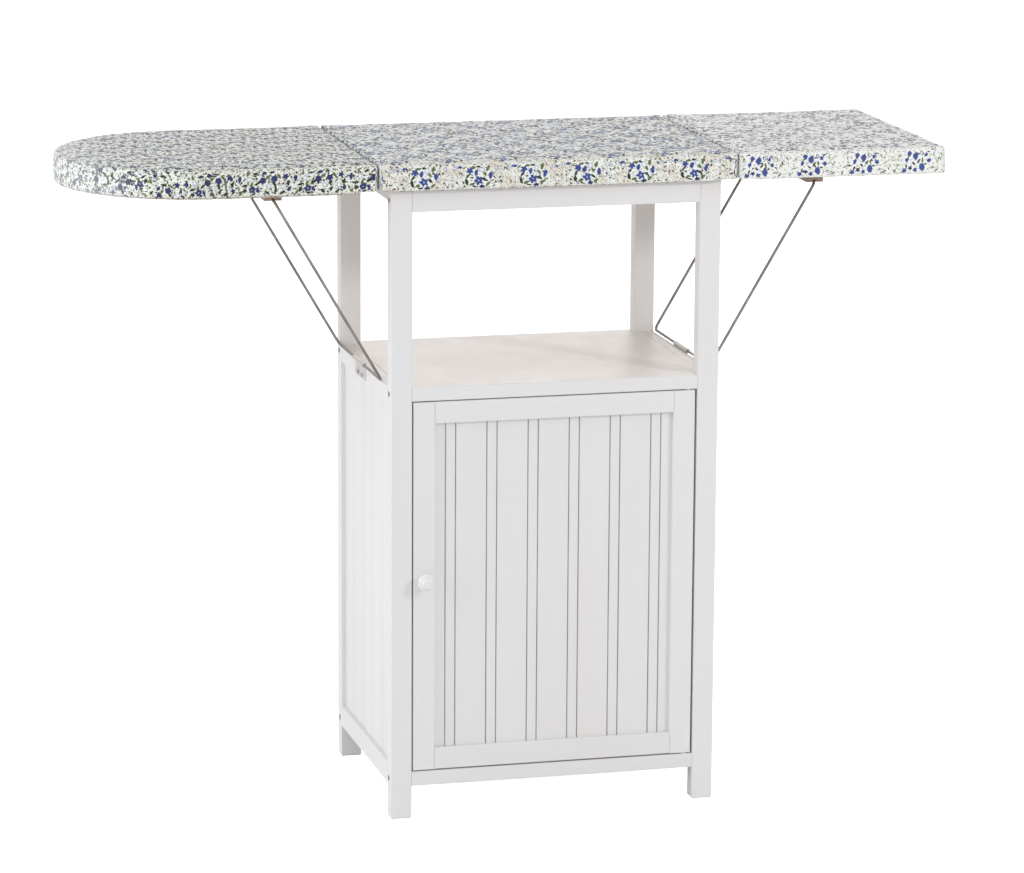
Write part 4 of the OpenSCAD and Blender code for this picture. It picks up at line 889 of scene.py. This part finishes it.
def seamStitches(side, cover):
    # short threads along each fold line's edge, lying on the cover
    size, s = coverSizes[side], stitchForm
    far = (9, 9, 9)     # where the points of the walls go, so that only the top's are found
    tree = KDTree(len(cover.data.vertices))
    for index, vertex in enumerate(cover.data.vertices):
        tree.insert((vertex.co.x, vertex.co.y, 0) if fromFrame(vertex.co)[2] > 20 else far, index)
    tree.balance()
    mesh = bmesh.new()
    y0, y1 = coverForm["y0"] + s["endGap"], coverForm["y1"] - s["endGap"]
    for end in size["folds"]:
        middle = size[end] + (s["inset"] if end == "x0" else -s["inset"])
        for k in range(int((y1 - y0) / s["pitch"])):
            y = y0 + (k + 0.5) * s["pitch"]
            x = middle + s["sway"] * noise.noise(Vector((y / 9, middle, 2)))
            flatSpot = toFrame(x, y, 0)
            top = fromFrame(cover.data.vertices[tree.find((flatSpot.x, flatSpot.y, 0))[1]].co)[2]
            loops = []
            for along, width, rise in s["along"]:
                loops.append([])
                for across, lift in s["across"]:
                    height = top + s["proud"] * (lift * rise if rise > 0 else rise)
                    spot = toFrame(x + across * width * s["broad"], y + along * s["long"], height)
                    loops[-1].append(mesh.verts.new(spot))
            for a, b in zip(loops, loops[1:]):
                for i in range(len(a)):
                    j = (i + 1) % len(a)
                    mesh.faces.new((a[i], b[i], b[j], a[j]))
            mesh.faces.new(loops[0])
            mesh.faces.new(list(reversed(loops[-1])))
    bmesh.ops.recalc_face_normals(mesh, faces=mesh.faces)
    stitches = addPiece(side + "SeamStitches", mesh)
    smoothFaces(stitches)
    stitches.data.materials.append(seamThread)
    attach(stitches, size["body"])


def makeCover(side):
    size = coverSizes[side]
    piece = coverShell(side + "PaddedCover", size, coverForm["shrink"])
    swell(piece, size)
    finer = piece.modifiers.new("finer", "SUBSURF")
    finer.levels = finer.render_levels = 1
    applyTo(piece, finer)
    puckerAndMap(piece, size)
    smoothFaces(piece)
    piece.data.materials.append(printedCotton(side))
    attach(piece, size["body"])
    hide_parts(side + "_cover", side + "_pad")
    seamStitches(side, piece)
    print(side, "cover made,", len(piece.data.vertices), "points")


for side in coverSizes:
    makeCover(side)

# floor, light and camera
studio = {"reach": 14, "floor": ((0.86, 0.86, 0.86, 1), (0.88, 0.88, 0.88, 1)), "floorGlow": 0.85,
          "world": (0.985, 0.975, 0.985, 1), "worldPower": 0.68, "backdrop": 1, "white": (1, 1, 1, 1)}
lamps = {
    "keySoft": {"at": (1.75, -2.15, 1.72), "aim": (0.05, -0.15, 0.45), "size": (0.3, 0.3), "power": 19.5,
                "color": (1, 0.985, 0.975)},
    "leftWall": {"at": (-3, -0.6, 1.6), "aim": (-0.1, 0, 0.5), "size": (2.4, 2.4), "power": 46,
                 "color": (0.97, 0.985, 1)},
    "backSoft": {"at": (0.4, 2.6, 1.7), "aim": (0, 0, 0.6), "size": (2, 1.4), "power": 15,
                 "color": (1, 0.96, 0.93)},
}
# angles in radians, and the focal length in pixels of a frame that is wide pixels across
view = {"at": (-1.5066, -5.9585, 1.8265), "yaw": 0.2532, "pitch": 0.2135, "roll": 0.0062, "focal": 4506.1,
        "wide": 1024, "sensor": 36, "clip": (0.1, 60)}


def makeFloor():
    mesh = bmesh.new()
    r = studio["reach"]
    mesh.faces.new([mesh.verts.new((x, y, 0)) for x, y in ((-r, -r), (r, -r), (r, r), (-r, r))])
    floor = addPiece("floor", mesh)
    material, tree, surface, coords = startMaterial("paleFloor")
    color = blendColor(tree, noiseTex(tree, coords["Object"], 0.8, 2), *studio["floor"])
    seen = newNode(tree, "LightPath").outputs["Is Camera Ray"]     # the glow is for the eye only
    sockets = {"Base Color": color, "Roughness": 0.7, "Specular IOR Level": 0.1,
               "Emission Color": studio["white"], "Emission Strength": times(tree, seen, studio["floorGlow"])}
    for label, value in sockets.items():
        plug(tree, value, surface.inputs[label])
    floor.data.materials.append(material)


def makeLight():
    world = bpy.data.worlds.new("studioWorld")
    scene.world = world
    world.use_nodes = True
    tree = world.node_tree
    sky = tree.nodes["Background"].inputs
    seen = newNode(tree, "LightPath").outputs["Is Camera Ray"]
    plug(tree, blendColor(tree, seen, studio["world"], studio["white"]), sky["Color"])
    plug(tree, ramp(tree, seen, 0, 1, studio["worldPower"], studio["backdrop"]), sky["Strength"])
    for name, look in lamps.items():
        lamp = bpy.data.lights.new(name, "AREA")
        lamp.shape = "RECTANGLE"
        lamp.size, lamp.size_y = look["size"]
        lamp.energy, lamp.color = look["power"], look["color"]
        light = bpy.data.objects.new(name, lamp)
        light.location = look["at"]
        light.rotation_euler = (Vector(look["aim"]) - light.location).to_track_quat("-Z", "Y").to_euler()
        scene.collection.objects.link(light)


def makeCamera():
    yaw, pitch, roll = view["yaw"], view["pitch"], view["roll"]
    ahead = Vector((math.sin(yaw) * math.cos(pitch), math.cos(yaw) * math.cos(pitch), -math.sin(pitch)))
    right = Vector((math.cos(yaw), -math.sin(yaw), 0))
    up = right.cross(ahead)
    turned = Matrix((right * math.cos(roll) + up * math.sin(roll),
                     up * math.cos(roll) - right * math.sin(roll), -ahead))
    lens = bpy.data.cameras.new("photoCamera")
    lens.sensor_width = view["sensor"]
    lens.lens = view["focal"] / view["wide"] * view["sensor"]
    lens.clip_start, lens.clip_end = view["clip"]
    camera = bpy.data.objects.new("photoCamera", lens)
    camera.matrix_world = Matrix.Translation(view["at"]) @ turned.transposed().to_4x4()
    scene.collection.objects.link(camera)
    scene.camera = camera


makeFloor()
makeLight()
makeCamera()
scene.view_settings.view_transform = "Standard"
print("floor, light and camera placed")
